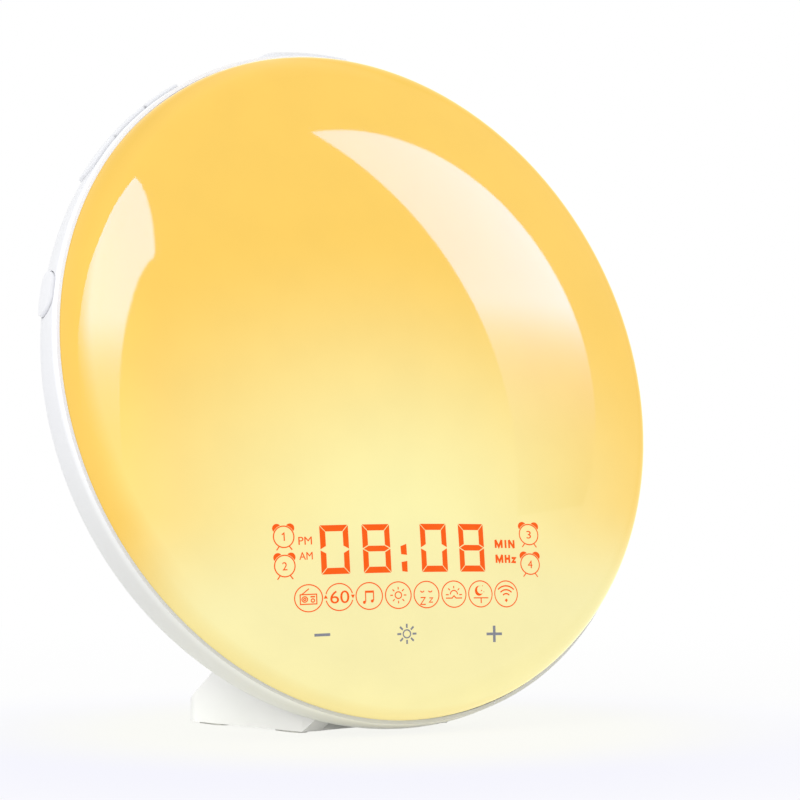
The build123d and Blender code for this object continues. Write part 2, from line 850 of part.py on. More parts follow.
with BuildPart() as main_board:
    with BuildSketch(level(-main_board_depth, v=main_board_level)):
        RectangleRounded(main_board_width, main_board_height, 2.0)
        with GridLocations(2 * main_posts_x, 2 * main_posts_v, 2, 2):
            Circle(small_shank + screw_clearance, mode=Mode.SUBTRACT)
    extrude(amount=board_thickness)
main_board.part.label = "main_board"

with BuildPart() as control_chips:
    with BuildSketch(level(main_face, v=main_board_level)):
        with Locations(large_chip_place):
            Rectangle(large_chip, large_chip)
        with Locations(*small_chip_places):
            Rectangle(small_chip_width, small_chip_height)
    extrude(amount=chip_height)
    with BuildSketch(level(main_face, display_x, cable_level)):
        Rectangle(cable_width + 3, 3.6)
        Rectangle(cable_width + 0.4, cable_thickness + 0.2, mode=Mode.SUBTRACT)
    extrude(amount=socket_height)
control_chips.part.label = "control_chips"

with BuildPart() as board_capacitors:
    with BuildSketch(level(main_face, v=main_board_level)):
        with Locations(*capacitor_places):
            Circle(capacitor_radius)
    extrude(amount=capacitor_height)
    fillet(board_capacitors.faces().sort_by(Axis(face.origin, forward))[-3:].edges(), 0.5)
board_capacitors.part.label = "board_capacitors"

with BuildPart() as wifi_module:
    with BuildSketch(level(main_face, wifi_x, main_board_level)):
        Rectangle(wifi_width, wifi_height)
    extrude(amount=wifi_board)
    with BuildSketch(level(main_face + wifi_board, wifi_x, main_board_level - 2.5)):
        RectangleRounded(wifi_width - 1, wifi_height - 6, 0.6)
    extrude(amount=wifi_shield)
wifi_module.part.label = "wifi_module"

with BuildPart() as main_board_screws:
    for x in (-main_posts_x, main_posts_x):
        for v in (main_board_level - main_posts_v, main_board_level + main_posts_v):
            seat = level(main_face, x, v)
            add(screw(seat, small_shank, small_length, small_head, small_head_height))
main_board_screws.part.label = "main_board_screws"

with BuildPart() as display_cable:
    cable_plane = Plane(origin=lamp_point(display_x, cable_level), x_dir=forward, z_dir=across)
    with BuildSketch(cable_plane):
        with BuildLine():
            low = (main_face + 0.3, 0)
            high = (display_level, 0)
            first = Line(low, (cable_start + 1, 0))
            bend = Spline(first @ 1, (-14, cable_slack * 0.4), (-9, 0), tangents=((1, 0), (1, 0)))
            Line(bend @ 1, high)
        trace(line_width=cable_thickness)
    extrude(amount=cable_width / 2, both=True)
display_cable.part.label = "display_cable"

# ---------------------------------------------------------------- speaker
speaker_axis = axis_at(0, speaker_level)
basket_wall = 1.2
speaker_front = -speaker_seat
magnet_front = speaker_front + speaker_depth

with BuildPart() as speaker_frame:
    with BuildSketch(section_at(0, speaker_level)):
        Polygon(
            (speaker_cone_radius, speaker_front),
            (speaker_radius, speaker_front),
            (speaker_radius, speaker_front + basket_wall),
            (speaker_cone_radius + basket_wall, speaker_front + basket_wall),
            (speaker_magnet_radius, magnet_front),
            (4.0, magnet_front),
            (4.0, magnet_front - basket_wall),
            (speaker_magnet_radius - basket_wall, magnet_front - basket_wall),
            (speaker_cone_radius, speaker_front + basket_wall - 0.1),
            align=None,
        )
    revolve(axis=speaker_axis)
    with BuildSketch(level(speaker_front, v=speaker_level)):
        with PolarLocations(speaker_radius - small_head - 0.4, 4, start_angle=45):
            Circle(small_shank + screw_clearance)
    extrude(amount=basket_wall, mode=Mode.SUBTRACT)
    # Windows in the basket
    with BuildSketch(level(speaker_front + 2 * basket_wall, v=speaker_level)):
        with PolarLocations((speaker_cone_radius + speaker_magnet_radius) / 2, 4):
            Rectangle(3.4, 8)
    extrude(amount=speaker_depth - 3.4 * basket_wall, mode=Mode.SUBTRACT)
speaker_frame.part.label = "speaker_frame"

with BuildPart() as speaker_magnet:
    with BuildSketch(level(magnet_front, v=speaker_level)):
        Circle(speaker_magnet_radius)
    extrude(amount=speaker_magnet_length)
    fillet(speaker_magnet.edges().filter_by(GeomType.CIRCLE), 0.6)
speaker_magnet.part.label = "speaker_magnet"

with BuildPart() as speaker_cone:
    with BuildSketch(section_at(0, speaker_level)):
        with BuildLine():
            cap_centre = (0, speaker_front + cone_depth + cap_round)
            cap_turn = degrees(asin(cap_radius / cap_round))
            edge = speaker_cone_radius - 0.1
            roll_end = (edge - roll_width, speaker_front + 0.3)
            top_end = (edge - roll_width, speaker_front + 1.0)
            cap = CenterArc(cap_centre, cap_round, -90, cap_turn)
            cap_under = CenterArc(cap_centre, cap_round - cone_skin, -90, cap_turn)
            Line(cap @ 0, cap_under @ 0)
            Line(cap @ 1, roll_end)
            ThreePointArc(roll_end, (edge - roll_width / 2, speaker_front - 0.6), (edge, speaker_front + 0.3))
            Line((edge, speaker_front + 0.3), (edge, speaker_front + 1.0))
            Line((edge, speaker_front + 1.0), top_end)
            Line(top_end, cap_under @ 1)
        make_face()
    revolve(axis=speaker_axis)
speaker_cone.part.label = "speaker_cone"

with BuildPart() as speaker_screws:
    for turn in (45, 135, 225, 315):
        ring = speaker_radius - small_head - 0.4
        seat = level(
            speaker_front + basket_wall,
            ring * cos(radians(turn)),
            speaker_level + ring * sin(radians(turn)),
        )
        add(screw(seat, small_shank, small_length, small_head, small_head_height))
speaker_screws.part.label = "speaker_screws"

# ---------------------------------------------------------------- power inlet and aerial bush
jack_wall = jack_nose_radius + 0.8

with BuildPart() as dc_jack:
    with BuildSketch(section_at(works_side, works_level)):
        Polygon(
            (jack_bore_radius, -housing_depth),
            (jack_nose_radius, -housing_depth),
            (jack_nose_radius, -inside_depth),
            (jack_flange_radius, -inside_depth),
            (jack_flange_radius, -inside_depth + 1.5),
            (jack_wall, -inside_depth + 1.5),
            (jack_wall, -housing_depth + jack_length),
            (0, -housing_depth + jack_length),
            (0, -housing_depth + 1.2),
            (jack_pin_radius, -housing_depth + 1.2),
            (jack_pin_radius, -housing_depth + jack_bore_depth),
            (jack_bore_radius, -housing_depth + jack_bore_depth),
            align=None,
        )
    revolve(axis=axis_at(works_side, works_level))
    with BuildSketch(level(jack_length - housing_depth, works_side, works_level)):
        with Locations((0, 2.5), (0, -2.5)):
            Rectangle(2.4, 0.5)
    extrude(amount=3.0)
dc_jack.part.label = "dc_jack"

with BuildPart() as aerial_bush:
    with BuildSketch(section_at(bush_x, bush_level)):
        neck = bush_bore_radius + 1.35
        Polygon(
            (bush_bore_radius, -housing_depth - 0.8),
            (neck + 0.6, -housing_depth - 0.8),
            (neck + 1.1, -housing_depth),
            (neck, -housing_depth),
            (neck, -inside_depth),
            (neck + 0.8, -inside_depth),
            (neck + 0.5, -inside_depth + 0.9),
            (bush_bore_radius, -inside_depth + 0.9),
            align=None,
        )
    revolve(axis=axis_at(bush_x, bush_level))
aerial_bush.part.label = "aerial_bush"

# ---------------------------------------------------------------- back-up cell
door_x = -works_side
lug_back = -inside_depth + 0.3
lug_front = lug_back + lug_thickness
cell_back = lug_front + 0.2
cell_front = cell_back + cell_thickness
holder_floor = cell_front + 0.5
lug_room = door_neck_radius + lug_reach + 2 * door_clearance
holder_radius = lug_room + 1.8

with BuildPart() as battery_door:
    with BuildSketch(section_at(door_x, works_level)):
        Polygon(
            (0, -housing_depth),
            (door_radius - 0.3, -housing_depth),
            (door_radius, -housing_depth + 0.3),
            (door_radius, -housing_depth + door_thickness - 0.1),
            (door_neck_radius, -housing_depth + door_thickness - 0.1),
            (door_neck_radius, lug_front),
            (0, lug_front),
            align=None,
        )
    revolve(axis=axis_at(door_x, works_level))
    with BuildSketch(level(lug_back, door_x, works_level)):
        Circle(door_neck_radius + lug_reach)
        Rectangle(4 * door_radius, lug_width, mode=Mode.INTERSECT)
    extrude(amount=lug_thickness)
    # Coin slot
    with BuildSketch(level(-housing_depth, door_x, works_level)):
        SlotOverall(1.2 * door_radius, 2.0)
    extrude(amount=0.8, mode=Mode.SUBTRACT)
battery_door.part.label = "battery_door"

with BuildPart() as battery_holder:
    with BuildSketch(section_at(door_x, works_level)):
        Polygon(
            (lug_room, -inside_depth),
            (holder_radius, -inside_depth),
            (holder_radius, holder_floor + 1.2),
            (0, holder_floor + 1.2),
            (0, holder_floor),
            (cell_radius + cell_clearance, holder_floor),
            (cell_radius + cell_clearance, cell_back + 0.2),
            (lug_room, cell_back + 0.2),
            align=None,
        )
    revolve(axis=axis_at(door_x, works_level))
battery_holder.part.label = "battery_holder"

with BuildPart() as coin_cell:
    with BuildSketch(level(cell_back, door_x, works_level)):
        Circle(cell_radius)
    extrude(amount=cell_thickness)
    chamfer(coin_cell.edges().filter_by(GeomType.CIRCLE), 0.4)
coin_cell.part.label = "coin_cell"

with BuildPart() as battery_contact:
    leaf_plane = Plane(origin=lamp_point(door_x, works_level), x_dir=forward, z_dir=across)
    with BuildSketch(leaf_plane):
        with BuildLine():
            end = holder_floor - contact_thickness / 2
            crown = cell_front + contact_thickness / 2
            ThreePointArc((end, -6), (crown, 0), (end, 6))
        trace(line_width=contact_thickness)
    extrude(amount=2.0, both=True)
battery_contact.part.label = "battery_contact"

# ---------------------------------------------------------------- foot
toe_x = foot_front_width / 2
heel_x = foot_back_width / 2
inner_x = toe_x - toe_width


def foot_plan(inset=0.0):
    """The foot seen from above, narrow and hollowed at the front, with its edge moved in by inset."""
    with BuildSketch(Plane.XY, mode=Mode.PRIVATE) as plan:
        with BuildLine():
            right_edge = Polyline((inner_x, toe_y), (toe_x, toe_y), (heel_x, heel_y), (0, heel_y))
            mirror(right_edge, about=Plane.YZ)
            ThreePointArc((-inner_x, toe_y), (0, toe_y + foot_setback), (inner_x, toe_y))
        make_face()
        fillet(plan.vertices().group_by(Axis.Y)[-1], foot_corner_round)
        if inset:
            offset(amount=-inset, mode=Mode.REPLACE)
    return plan.sketch


def foot_form(inset=0.0):
    """The foot's outer form before the housing is cut from it, with its skin moved in by inset."""
    with BuildPart(mode=Mode.PRIVATE) as form:
        with BuildSketch(Plane.XY):
            add(foot_plan(inset))
        extrude(amount=rim_height)
        with BuildSketch(Plane.YZ) as side_view:
            with BuildLine():
                heel_bottom = (heel_y - heel_slope, pad_proud)
                heel_top = (heel_y, pad_proud + heel_height)
                hollow = (toe_y + back_hollow[0] * foot_depth, heel_height + back_hollow[1] * foot_depth)
                neck_top = (toe_y + back_neck[0] * foot_depth, heel_height + back_neck[1] * foot_depth)
                Polyline(neck_top, (toe_y, neck_top[1]), (toe_y, pad_proud), heel_bottom, heel_top)
                ThreePointArc(heel_top, hollow, neck_top)
            make_face()
            fillet(side_view.vertices().sort_by(Axis.Y)[-2:], heel_round)
            if inset:
                offset(amount=-inset, mode=Mode.REPLACE)
        extrude(amount=foot_back_width, both=True, mode=Mode.INTERSECT)
    return form.part


foot_outer = foot_form()
foot_inner = foot_form(foot_wall)
foot_mid = foot_form(foot_wall / 2)
foot_under_bowl = bowl(foot_gap)
cover_top = pad_proud + cover_recess + cover_thickness
screw_seat = foot_thread_top - 1.0 - foot_screw_length
cover_screw_y = toe_y + cover_screw_setback
cover_screw_places = [(foot_screw_x, cover_screw_y), (-foot_screw_x, cover_screw_y)]
pad_spots = []
for setback in (pad_length / 2 + 2.5, foot_depth - pad_length / 2 - 4.5):
    share = setback / foot_depth
    half_width = (foot_front_width + share * (foot_back_width - foot_front_width)) / 2
    for side in (1, -1):
        pad_spots.append((side * (half_width - sole_width / 2), toe_y + setback))

with BuildPart() as stand_base:
    # Screw bosses, trimmed to the inside of the foot's skin
    with BuildSketch(Plane.XY.offset(cover_top)):
        with Locations(*foot_screw_places):
            Circle(foot_boss_radius)
        with Locations(*cover_screw_places):
            Circle(small_head + 1.4)
    extrude(amount=rim_height / 2)
    add(foot_mid, mode=Mode.INTERSECT)
    # The hollow shell with its thick sole, opened from below and cut to the housing's curve
    with BuildPart(mode=Mode.PRIVATE) as foot_shell:
        add(foot_outer)
        with BuildPart(mode=Mode.PRIVATE) as foot_cavity:
            add(foot_inner)
            with BuildSketch(Plane.XY.offset(pad_proud + sole_height)):
                Rectangle(2 * foot_back_width, 4 * foot_depth)
            extrude(amount=-sole_height, mode=Mode.SUBTRACT)
        add(foot_cavity.part, mode=Mode.SUBTRACT)
        with BuildSketch(Plane.XY):
            add(foot_plan(sole_width))
        extrude(amount=pad_proud + sole_height, mode=Mode.SUBTRACT)
    add(foot_shell.part)
    # Two toes that reach forward under the housing and rise from the table
    for side in (1, -1):
        with BuildSketch(Plane.YZ.offset(side * inner_x)):
            Polygon(
                (toe_y, pad_proud),
                (toe_y + foot_wall, pad_proud),
                (toe_y + foot_wall, pad_proud + 3 * toe_rise),
                (toe_y - toe_reach, pad_proud + 3 * toe_rise),
                (toe_y - toe_reach, pad_proud + toe_rise),
                align=None,
            )
        extrude(amount=side * toe_width)
    add(foot_under_bowl, mode=Mode.SUBTRACT)
    # Screw holes and the recesses for the pads
    with BuildSketch(Plane.XY):
        with Locations(*foot_screw_places):
            Circle(long_shank + cover_gap)
    extrude(amount=rim_height / 2, mode=Mode.SUBTRACT)
    with BuildSketch(Plane.XY.offset(screw_seat)):
        with Locations(*foot_screw_places):
            Circle(long_head + cover_gap)
    extrude(amount=-screw_seat, mode=Mode.SUBTRACT)
    with BuildSketch(Plane.XY.offset(cover_top)):
        with Locations(*cover_screw_places):
            Circle(small_shank + screw_clearance)
    extrude(amount=small_length, mode=Mode.SUBTRACT)
    with BuildSketch(Plane.XY):
        with Locations(*pad_spots):
            SlotOverall(pad_length + 0.1, pad_width + 0.1, rotation=90)
    extrude(amount=pad_proud + pad_recess, mode=Mode.SUBTRACT)
stand_base.part.label = "stand_base"

with BuildPart() as stand_cover:
    with BuildSketch(Plane.XY.offset(cover_top)):
        add(foot_plan(sole_width + cover_gap))
        with Locations(*cover_screw_places):
            Circle(small_shank + screw_clearance, mode=Mode.SUBTRACT)
    extrude(amount=-cover_thickness)
    add(foot_under_bowl, mode=Mode.SUBTRACT)
stand_cover.part.label = "stand_cover"

with BuildPart() as rubber_feet:
    with BuildSketch(Plane.XY):
        with Locations(*pad_spots):
            SlotOverall(pad_length, pad_width, rotation=90)
    extrude(amount=pad_proud + pad_recess)
rubber_feet.part.label = "rubber_feet"

with BuildPart() as stand_screws:
    for x, y in foot_screw_places:
        seat = Plane(origin=(x, y, screw_seat), x_dir=(1, 0, 0), z_dir=(0, 0, -1))
        add(screw(seat, long_shank, foot_screw_length, long_head, screw_head_height))
stand_screws.part.label = "stand_screws"

with BuildPart() as stand_cover_screws:
    for x, y in cover_screw_places:
        seat = Plane(origin=(x, y, cover_top - cover_thickness), x_dir=(1, 0, 0), z_dir=(0, 0, -1))
        add(screw(seat, small_shank, small_length, small_head, small_head_height))
stand_cover_screws.part.label = "stand_cover_screws"

os.makedirs("parts", exist_ok=True)
pieces = [diffuser_dome, rear_housing, *moving_pieces, *key_boards, switch_bodies, key_board_screws]
pieces += [reflector_dish, reflector_screws, led_board, light_leds, led_board_screws]
pieces += [display_shroud, display_board, display_leds, touch_pads, display_screws]
pieces += [main_board, control_chips, board_capacitors, wifi_module, main_board_screws, display_cable]
pieces += [speaker_frame, speaker_magnet, speaker_cone, speaker_screws, dc_jack, aerial_bush]
pieces += [battery_door, battery_holder, coin_cell, battery_contact]
pieces += [stand_base, stand_cover, rubber_feet, stand_screws, stand_cover_screws]
for piece in pieces:
    export_step(piece.part, f"parts/{piece.part.label}.step")
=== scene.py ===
# %% [markdown]
# # A round bedside wake-up light
#
# This notebook dresses a clock lamp whose solids are already packed. The lamp has a domed diffuser that
# is lit from inside, a white bowl behind it, push keys round its rim and a wedge foot. The solids keep
# their shape here. Each step adds a finish or a fine detail, and says what the real thing is made of.

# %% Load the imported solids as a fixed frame
import math

import bmesh
import bpy
from mathutils import Euler, Matrix, Vector


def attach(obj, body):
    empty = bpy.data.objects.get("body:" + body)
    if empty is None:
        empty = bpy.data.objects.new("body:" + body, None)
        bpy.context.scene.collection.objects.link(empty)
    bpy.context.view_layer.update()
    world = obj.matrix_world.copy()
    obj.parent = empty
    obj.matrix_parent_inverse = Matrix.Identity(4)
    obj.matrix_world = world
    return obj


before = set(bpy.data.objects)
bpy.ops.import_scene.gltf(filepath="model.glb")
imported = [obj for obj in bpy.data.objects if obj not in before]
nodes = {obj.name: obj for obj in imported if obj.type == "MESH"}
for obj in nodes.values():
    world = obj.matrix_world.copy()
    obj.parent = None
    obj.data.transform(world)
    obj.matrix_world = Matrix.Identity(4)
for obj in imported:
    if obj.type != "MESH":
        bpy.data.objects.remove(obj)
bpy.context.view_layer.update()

# %% [markdown]
# ## Where things are
#
# The face leans back, so places on it are easier to give in lamp coordinates: x across, v up along the
# face and n straight out of it, in millimetres from the centre of the rim. One matrix turns them into
# the frame's metres. The diffuser is a shallow part of a large ball, so its height at any place comes
# from the ball's radius. Near the rim it turns over in a round shoulder about a ring.

# %% Lamp coordinates
MM = 0.001
LEAN = math.radians(15.0)
RIM_CENTRE = Vector((0.0, -0.006339, 0.094798))
DOME_RADIUS = 353.2
DOME_DROP = 331.2
SHOULDER_RING = 82.0
SHOULDER_START = 84.9

lamp_turn = Euler((math.pi / 2 - LEAN, 0.0, 0.0))
lamp_frame = Matrix.Translation(RIM_CENTRE) @ lamp_turn.to_matrix().to_4x4()


def lamp_point(x, v, n=0.0):
    """A place in lamp coordinates, as a point in the frame's metres."""
    return lamp_frame @ (Vector((x, v, n)) * MM)


def dome_height(x, v):
    """How far the diffuser's skin stands forward of the rim, in millimetres."""
    return math.sqrt(DOME_RADIUS**2 - x**2 - v**2) - DOME_DROP


print("top of the dome:", [round(c, 4) for c in lamp_point(0, 0, dome_height(0, 0))])

# %% [markdown]
# ## Colours and shader helpers
#
# Colours are easy to think of as the 0 to 255 values of a screen, but shaders work in linear light, so
# a helper converts them. Each finish below is a small graph round one Principled shader. The helpers
# only save typing: they add a node, set its inputs and link it.


# %% Colour and node helpers
def screen(red, green, blue):
    """A screen colour, 0 to 255 a channel, as the linear colour that a shader needs."""
    linear = []
    for value in (red, green, blue):
        share = value / 255
        linear.append(share / 12.92 if share <= 0.04045 else ((share + 0.055) / 1.055) ** 2.4)
    return (*linear, 1.0)


def new_finish(name):
    """A material with an empty graph but for its Principled shader and its output."""
    finish = bpy.data.materials.new(name)
    finish.use_nodes = True
    tree = finish.node_tree
    return finish, tree, tree.nodes["Principled BSDF"]


def add_node(tree, kind, **settings):
    """A new node, with its settings, such as an operation, given by name."""
    node = tree.nodes.new(kind)
    for setting, value in settings.items():
        setattr(node, setting, value)
    return node


def object_place(tree):
    """The output that gives a point's place in the frame, in metres."""
    return add_node(tree, "ShaderNodeTexCoord").outputs["Object"]


def lamp_place(tree):
    """The same place in lamp coordinates, in metres."""
    to_lamp = add_node(tree, "ShaderNodeMapping", vector_type="TEXTURE")
    to_lamp.inputs["Location"].default_value = RIM_CENTRE
    to_lamp.inputs["Rotation"].default_value = lamp_turn
    tree.links.new(object_place(tree), to_lamp.inputs["Vector"])
    return to_lamp.outputs["Vector"]


def feed(tree, socket, value):
    """Give a socket a plain value, or link another node's output to it."""
    if isinstance(value, bpy.types.NodeSocket):
        tree.links.new(value, socket)
    else:
        socket.default_value = value


def noise(tree, place, scale, detail=2.0, roughness=0.5):
    """Soft random variation, with scale given in waves per metre."""
    node = add_node(tree, "ShaderNodeTexNoise")
    node.inputs["Scale"].default_value = scale
    node.inputs["Detail"].default_value = detail
    node.inputs["Roughness"].default_value = roughness
    tree.links.new(place, node.inputs["Vector"])
    return node.outputs["Fac"]


def spread(tree, value, low, high, from_low=0.3, from_high=0.7, kind="LINEAR"):
    """Stretch a value from one range to another."""
    node = add_node(tree, "ShaderNodeMapRange", interpolation_type=kind)
    node.inputs["From Min"].default_value = from_low
    node.inputs["From Max"].default_value = from_high
    node.inputs["To Min"].default_value = low
    node.inputs["To Max"].default_value = high
    tree.links.new(value, node.inputs["Value"])
    return node.outputs["Result"]


def combine(tree, first, second, operation="MULTIPLY"):
    """The product of two values, or what another operation makes of them."""
    node = add_node(tree, "ShaderNodeMath", operation=operation)
    feed(tree, node.inputs[0], first)
    feed(tree, node.inputs[1], second)
    return node.outputs["Value"]


def vector_step(tree, operation, vector, second=None, scale=None):
    """The node that does one step with a vector: its length, its way, its product or a difference."""
    node = add_node(tree, "ShaderNodeVectorMath", operation=operation)
    feed(tree, node.inputs[0], vector)
    if second is not None:
        feed(tree, node.inputs[1], second)
    if scale is not None:
        feed(tree, node.inputs["Scale"], scale)
    return node


def scaled(tree, colour, share):
    """A colour or a vector times a value."""
    return vector_step(tree, "SCALE", colour, scale=share).outputs["Vector"]


def parts_of(tree, vector):
    """The three parts of a vector, X, Y and Z."""
    node = add_node(tree, "ShaderNodeSeparateXYZ")
    tree.links.new(vector, node.inputs["Vector"])
    return node.outputs


# A Mix node lists sockets for every kind of value: the numbers of the first, the second and the result
MIX_SOCKETS = {"RGBA": (6, 7, 2), "VECTOR": (4, 5, 1)}


def blend(tree, share, first, second, kind="RGBA", **settings):
    """Mix two colours or vectors, each given as a value or as another node's output."""
    node = add_node(tree, "ShaderNodeMix", data_type=kind, **settings)
    first_socket, second_socket, result = MIX_SOCKETS[kind]
    feed(tree, node.inputs["Factor"], share)
    feed(tree, node.inputs[first_socket], first)
    feed(tree, node.inputs[second_socket], second)
    return node.outputs[result]


def add_grain(tree, shader, height, depth):
    """Bump the shader's surface by a height value, depth metres deep."""
    bump = add_node(tree, "ShaderNodeBump")
    bump.inputs["Strength"].default_value = 1.0
    bump.inputs["Distance"].default_value = depth
    tree.links.new(height, bump.inputs["Height"])
    tree.links.new(bump.outputs["Normal"], shader.inputs["Normal"])


print("helpers ready")

# %% [markdown]
# ## Moulded plastic
#
# The bowl, the keys and the foot are injection-moulded. Such plastic has a fine spark-eroded texture
# from the mould's steel, a soft sheen that varies a little from place to place, and almost no colour of
# its own. Fine noise gives the texture as bump, and slow noise shifts the colour and the sheen by a
# few percent, so that no area is one flat tone. Noise is given in waves per metre, and depth in metres.

# %% Moulded plastic finish
DRIFT_WAVES = 28.0
SHEEN_WAVES = 90.0
GRAIN_WAVES = 1400.0
GRAIN_DEPTH = 0.0000003


def moulded_plastic(name, colour, shade, gloss=(0.34, 0.44)):
    """Plastic from a textured mould; colour drifts a little towards shade."""
    finish, tree, shader = new_finish(name)
    place = object_place(tree)
    drift = noise(tree, place, DRIFT_WAVES, 3.0)
    tint = blend(tree, spread(tree, drift, 0.0, 1.0), colour, shade)
    tree.links.new(tint, shader.inputs["Base Color"])
    sheen = spread(tree, noise(tree, place, SHEEN_WAVES), gloss[0], gloss[1])
    tree.links.new(sheen, shader.inputs["Roughness"])
    add_grain(tree, shader, noise(tree, place, GRAIN_WAVES, 3.0, 0.6), GRAIN_DEPTH)
    return finish


case_white = moulded_plastic("case_white", screen(247, 248, 251), screen(243, 244, 247))
key_white = moulded_plastic("key_white", screen(247, 248, 251), screen(244, 245, 249), (0.28, 0.36))
foot_white = moulded_plastic("foot_white", screen(246, 246, 246), screen(241, 242, 240))
door_white = moulded_plastic("door_white", screen(243, 244, 246), screen(239, 240, 242), (0.38, 0.48))
works_black = moulded_plastic("works_black", screen(38, 38, 41), screen(30, 30, 33))
works_grey = moulded_plastic("works_grey", screen(62, 63, 66), screen(54, 55, 58))
works_white = moulded_plastic("works_white", screen(235, 235, 231), screen(228, 228, 224))
print("plastics:", len(bpy.data.materials))

# %% [markdown]
# ## The bowl's painted warm shade and painted lip glow
#
# The bowl is a cool white at the top, and low down its colour is painted warmer and a little darker, as
# painted light and shade from the lit table that faces it. Its lip beside the diffuser is thin, so a
# painted
# glow stands for the little light that comes through it, more at the top than at the foot. Both go by
# place:
# the first by the height above the table, the second by the depth behind the rim.

# %% Bowl tint, painted warm shade and painted lip glow
# Tint and heights of the painted warm light and shade low on the bowl
PAINTED_WARM_SHADE_TINT = screen(245, 245, 236)
PAINTED_WARM_SHADE_START, PAINTED_WARM_SHADE_END = 0.095, 0.022
LIP_START, LIP_END = -3.0, -0.5
# Strength of the painted glow on the lip, high up and low down
LIP_HIGH, LIP_HIGH_PAINTED_GLOW = 0.13, 0.3
LIP_LOW, LIP_LOW_PAINTED_GLOW = 0.03, 0.1

tree = case_white.node_tree
shader = tree.nodes["Principled BSDF"]
height = parts_of(tree, object_place(tree))["Z"]
moulded_tint = shader.inputs["Base Color"].links[0].from_socket
# Painted warm light and shade: lower down the bowl's colour turns warmer and a little darker
painted_warm_shade_share = spread(tree, height, 0.0, 1.0, PAINTED_WARM_SHADE_START, PAINTED_WARM_SHADE_END, "SMOOTHSTEP")
bowl_tint_with_painted_warm_shade = blend(tree, painted_warm_shade_share, moulded_tint, PAINTED_WARM_SHADE_TINT, blend_type="MULTIPLY")
tree.links.new(bowl_tint_with_painted_warm_shade, shader.inputs["Base Color"])

# Painted glow: the lip next to the diffuser gets emission, more at the top than at the foot
depth = parts_of(tree, lamp_place(tree))["Z"]
painted_glow_lip_share = spread(tree, depth, 0.0, 1.0, LIP_START * MM, LIP_END * MM, "SMOOTHSTEP")
painted_lip_glow = combine(tree, painted_glow_lip_share, spread(tree, height, LIP_HIGH_PAINTED_GLOW, LIP_LOW_PAINTED_GLOW, LIP_HIGH, LIP_LOW))
tree.links.new(scaled(tree, bowl_tint_with_painted_warm_shade, painted_lip_glow), shader.inputs["Emission Color"])
shader.inputs["Emission Strength"].default_value = 1.0
print("bowl finish:", len(tree.nodes), "nodes")

# %% [markdown]
# ## Inner works
#
# The boards, fasteners and contacts sit inside the closed case. They still get the finish of their real
# material, so that the part can be opened up: solder mask over a faint copper pattern for boards,
# brushed streaks for steel, matte rubber for the pads.

# %% Boards, metals and rubber
COPPER_CELLS = 320.0
COPPER_DEPTH = 0.00002
STREAK_WAVES = 700.0
STREAK_STRETCH = 14.0
STREAK_DEPTH = 0.000004
RUBBER_DRIFT_WAVES = 400.0
RUBBER_WAVES = 1800.0
RUBBER_DEPTH = 0.00003


def circuit_board(name, mask, copper):
    """Solder mask over copper: broad poured areas show through as a lighter tone."""
    finish, tree, shader = new_finish(name)
    place = object_place(tree)
    cells = add_node(tree, "ShaderNodeTexVoronoi", distance="CHEBYCHEV")
    cells.inputs["Scale"].default_value = COPPER_CELLS
    tree.links.new(place, cells.inputs["Vector"])
    pour = spread(tree, cells.outputs["Distance"], 0.0, 1.0, 0.25, 0.35)
    tree.links.new(blend(tree, pour, mask, copper), shader.inputs["Base Color"])
    shader.inputs["Roughness"].default_value = 0.32
    add_grain(tree, shader, pour, COPPER_DEPTH)
    return finish


def brushed_metal(name, colour, shade, gloss=(0.22, 0.38)):
    """Metal with fine streaks along one way."""
    finish, tree, shader = new_finish(name)
    stretch = add_node(tree, "ShaderNodeMapping")
    stretch.inputs["Scale"].default_value = (1.0, STREAK_STRETCH, 1.0)
    tree.links.new(object_place(tree), stretch.inputs["Vector"])
    streaks = noise(tree, stretch.outputs["Vector"], STREAK_WAVES, 3.0)
    tree.links.new(blend(tree, streaks, colour, shade), shader.inputs["Base Color"])
    tree.links.new(spread(tree, streaks, gloss[0], gloss[1]), shader.inputs["Roughness"])
    shader.inputs["Metallic"].default_value = 1.0
    add_grain(tree, shader, streaks, STREAK_DEPTH)
    return finish


def matte_rubber(name, colour, shade):
    """Moulded rubber or foam: dull, with a coarse even grain."""
    finish, tree, shader = new_finish(name)
    place = object_place(tree)
    drift = noise(tree, place, RUBBER_DRIFT_WAVES, 3.0)
    tree.links.new(blend(tree, drift, colour, shade), shader.inputs["Base Color"])
    shader.inputs["Roughness"].default_value = 0.82
    add_grain(tree, shader, noise(tree, place, RUBBER_WAVES), RUBBER_DEPTH)
    return finish


board_green = circuit_board("board_green", screen(24, 92, 52), screen(40, 122, 70))
board_white = circuit_board("board_white", screen(240, 240, 234), screen(228, 228, 220))
screw_steel = brushed_metal("screw_steel", screen(190, 192, 196), screen(150, 152, 158))
can_metal = brushed_metal("can_metal", screen(214, 216, 220), screen(184, 186, 190))
cell_steel = brushed_metal("cell_steel", screen(206, 205, 200), screen(176, 175, 170))
magnet_metal = brushed_metal("magnet_metal", screen(120, 121, 125), screen(88, 89, 93))
basket_black = brushed_metal("basket_black", screen(60, 60, 64), screen(42, 42, 46), (0.4, 0.55))
pad_rubber = matte_rubber("pad_rubber", screen(66, 66, 69), screen(50, 50, 53))
pad_pale = matte_rubber("pad_pale", screen(228, 228, 222), screen(218, 218, 212))
touch_foam = matte_rubber("touch_foam", screen(70, 70, 72), screen(58, 58, 60))
cone_paper = matte_rubber("cone_paper", screen(52, 52, 54), screen(38, 38, 40))
ribbon_film = matte_rubber("ribbon_film", screen(226, 226, 222), screen(212, 212, 208))
print("works finishes:", len(bpy.data.materials))

# %% [markdown]
# ## Small lamps
#
# The light comes from rings of warm white lamps behind the diffuser, and the display has rows of small
# orange ones. Their lenses glow, so their shaders have some emission of the same colour.

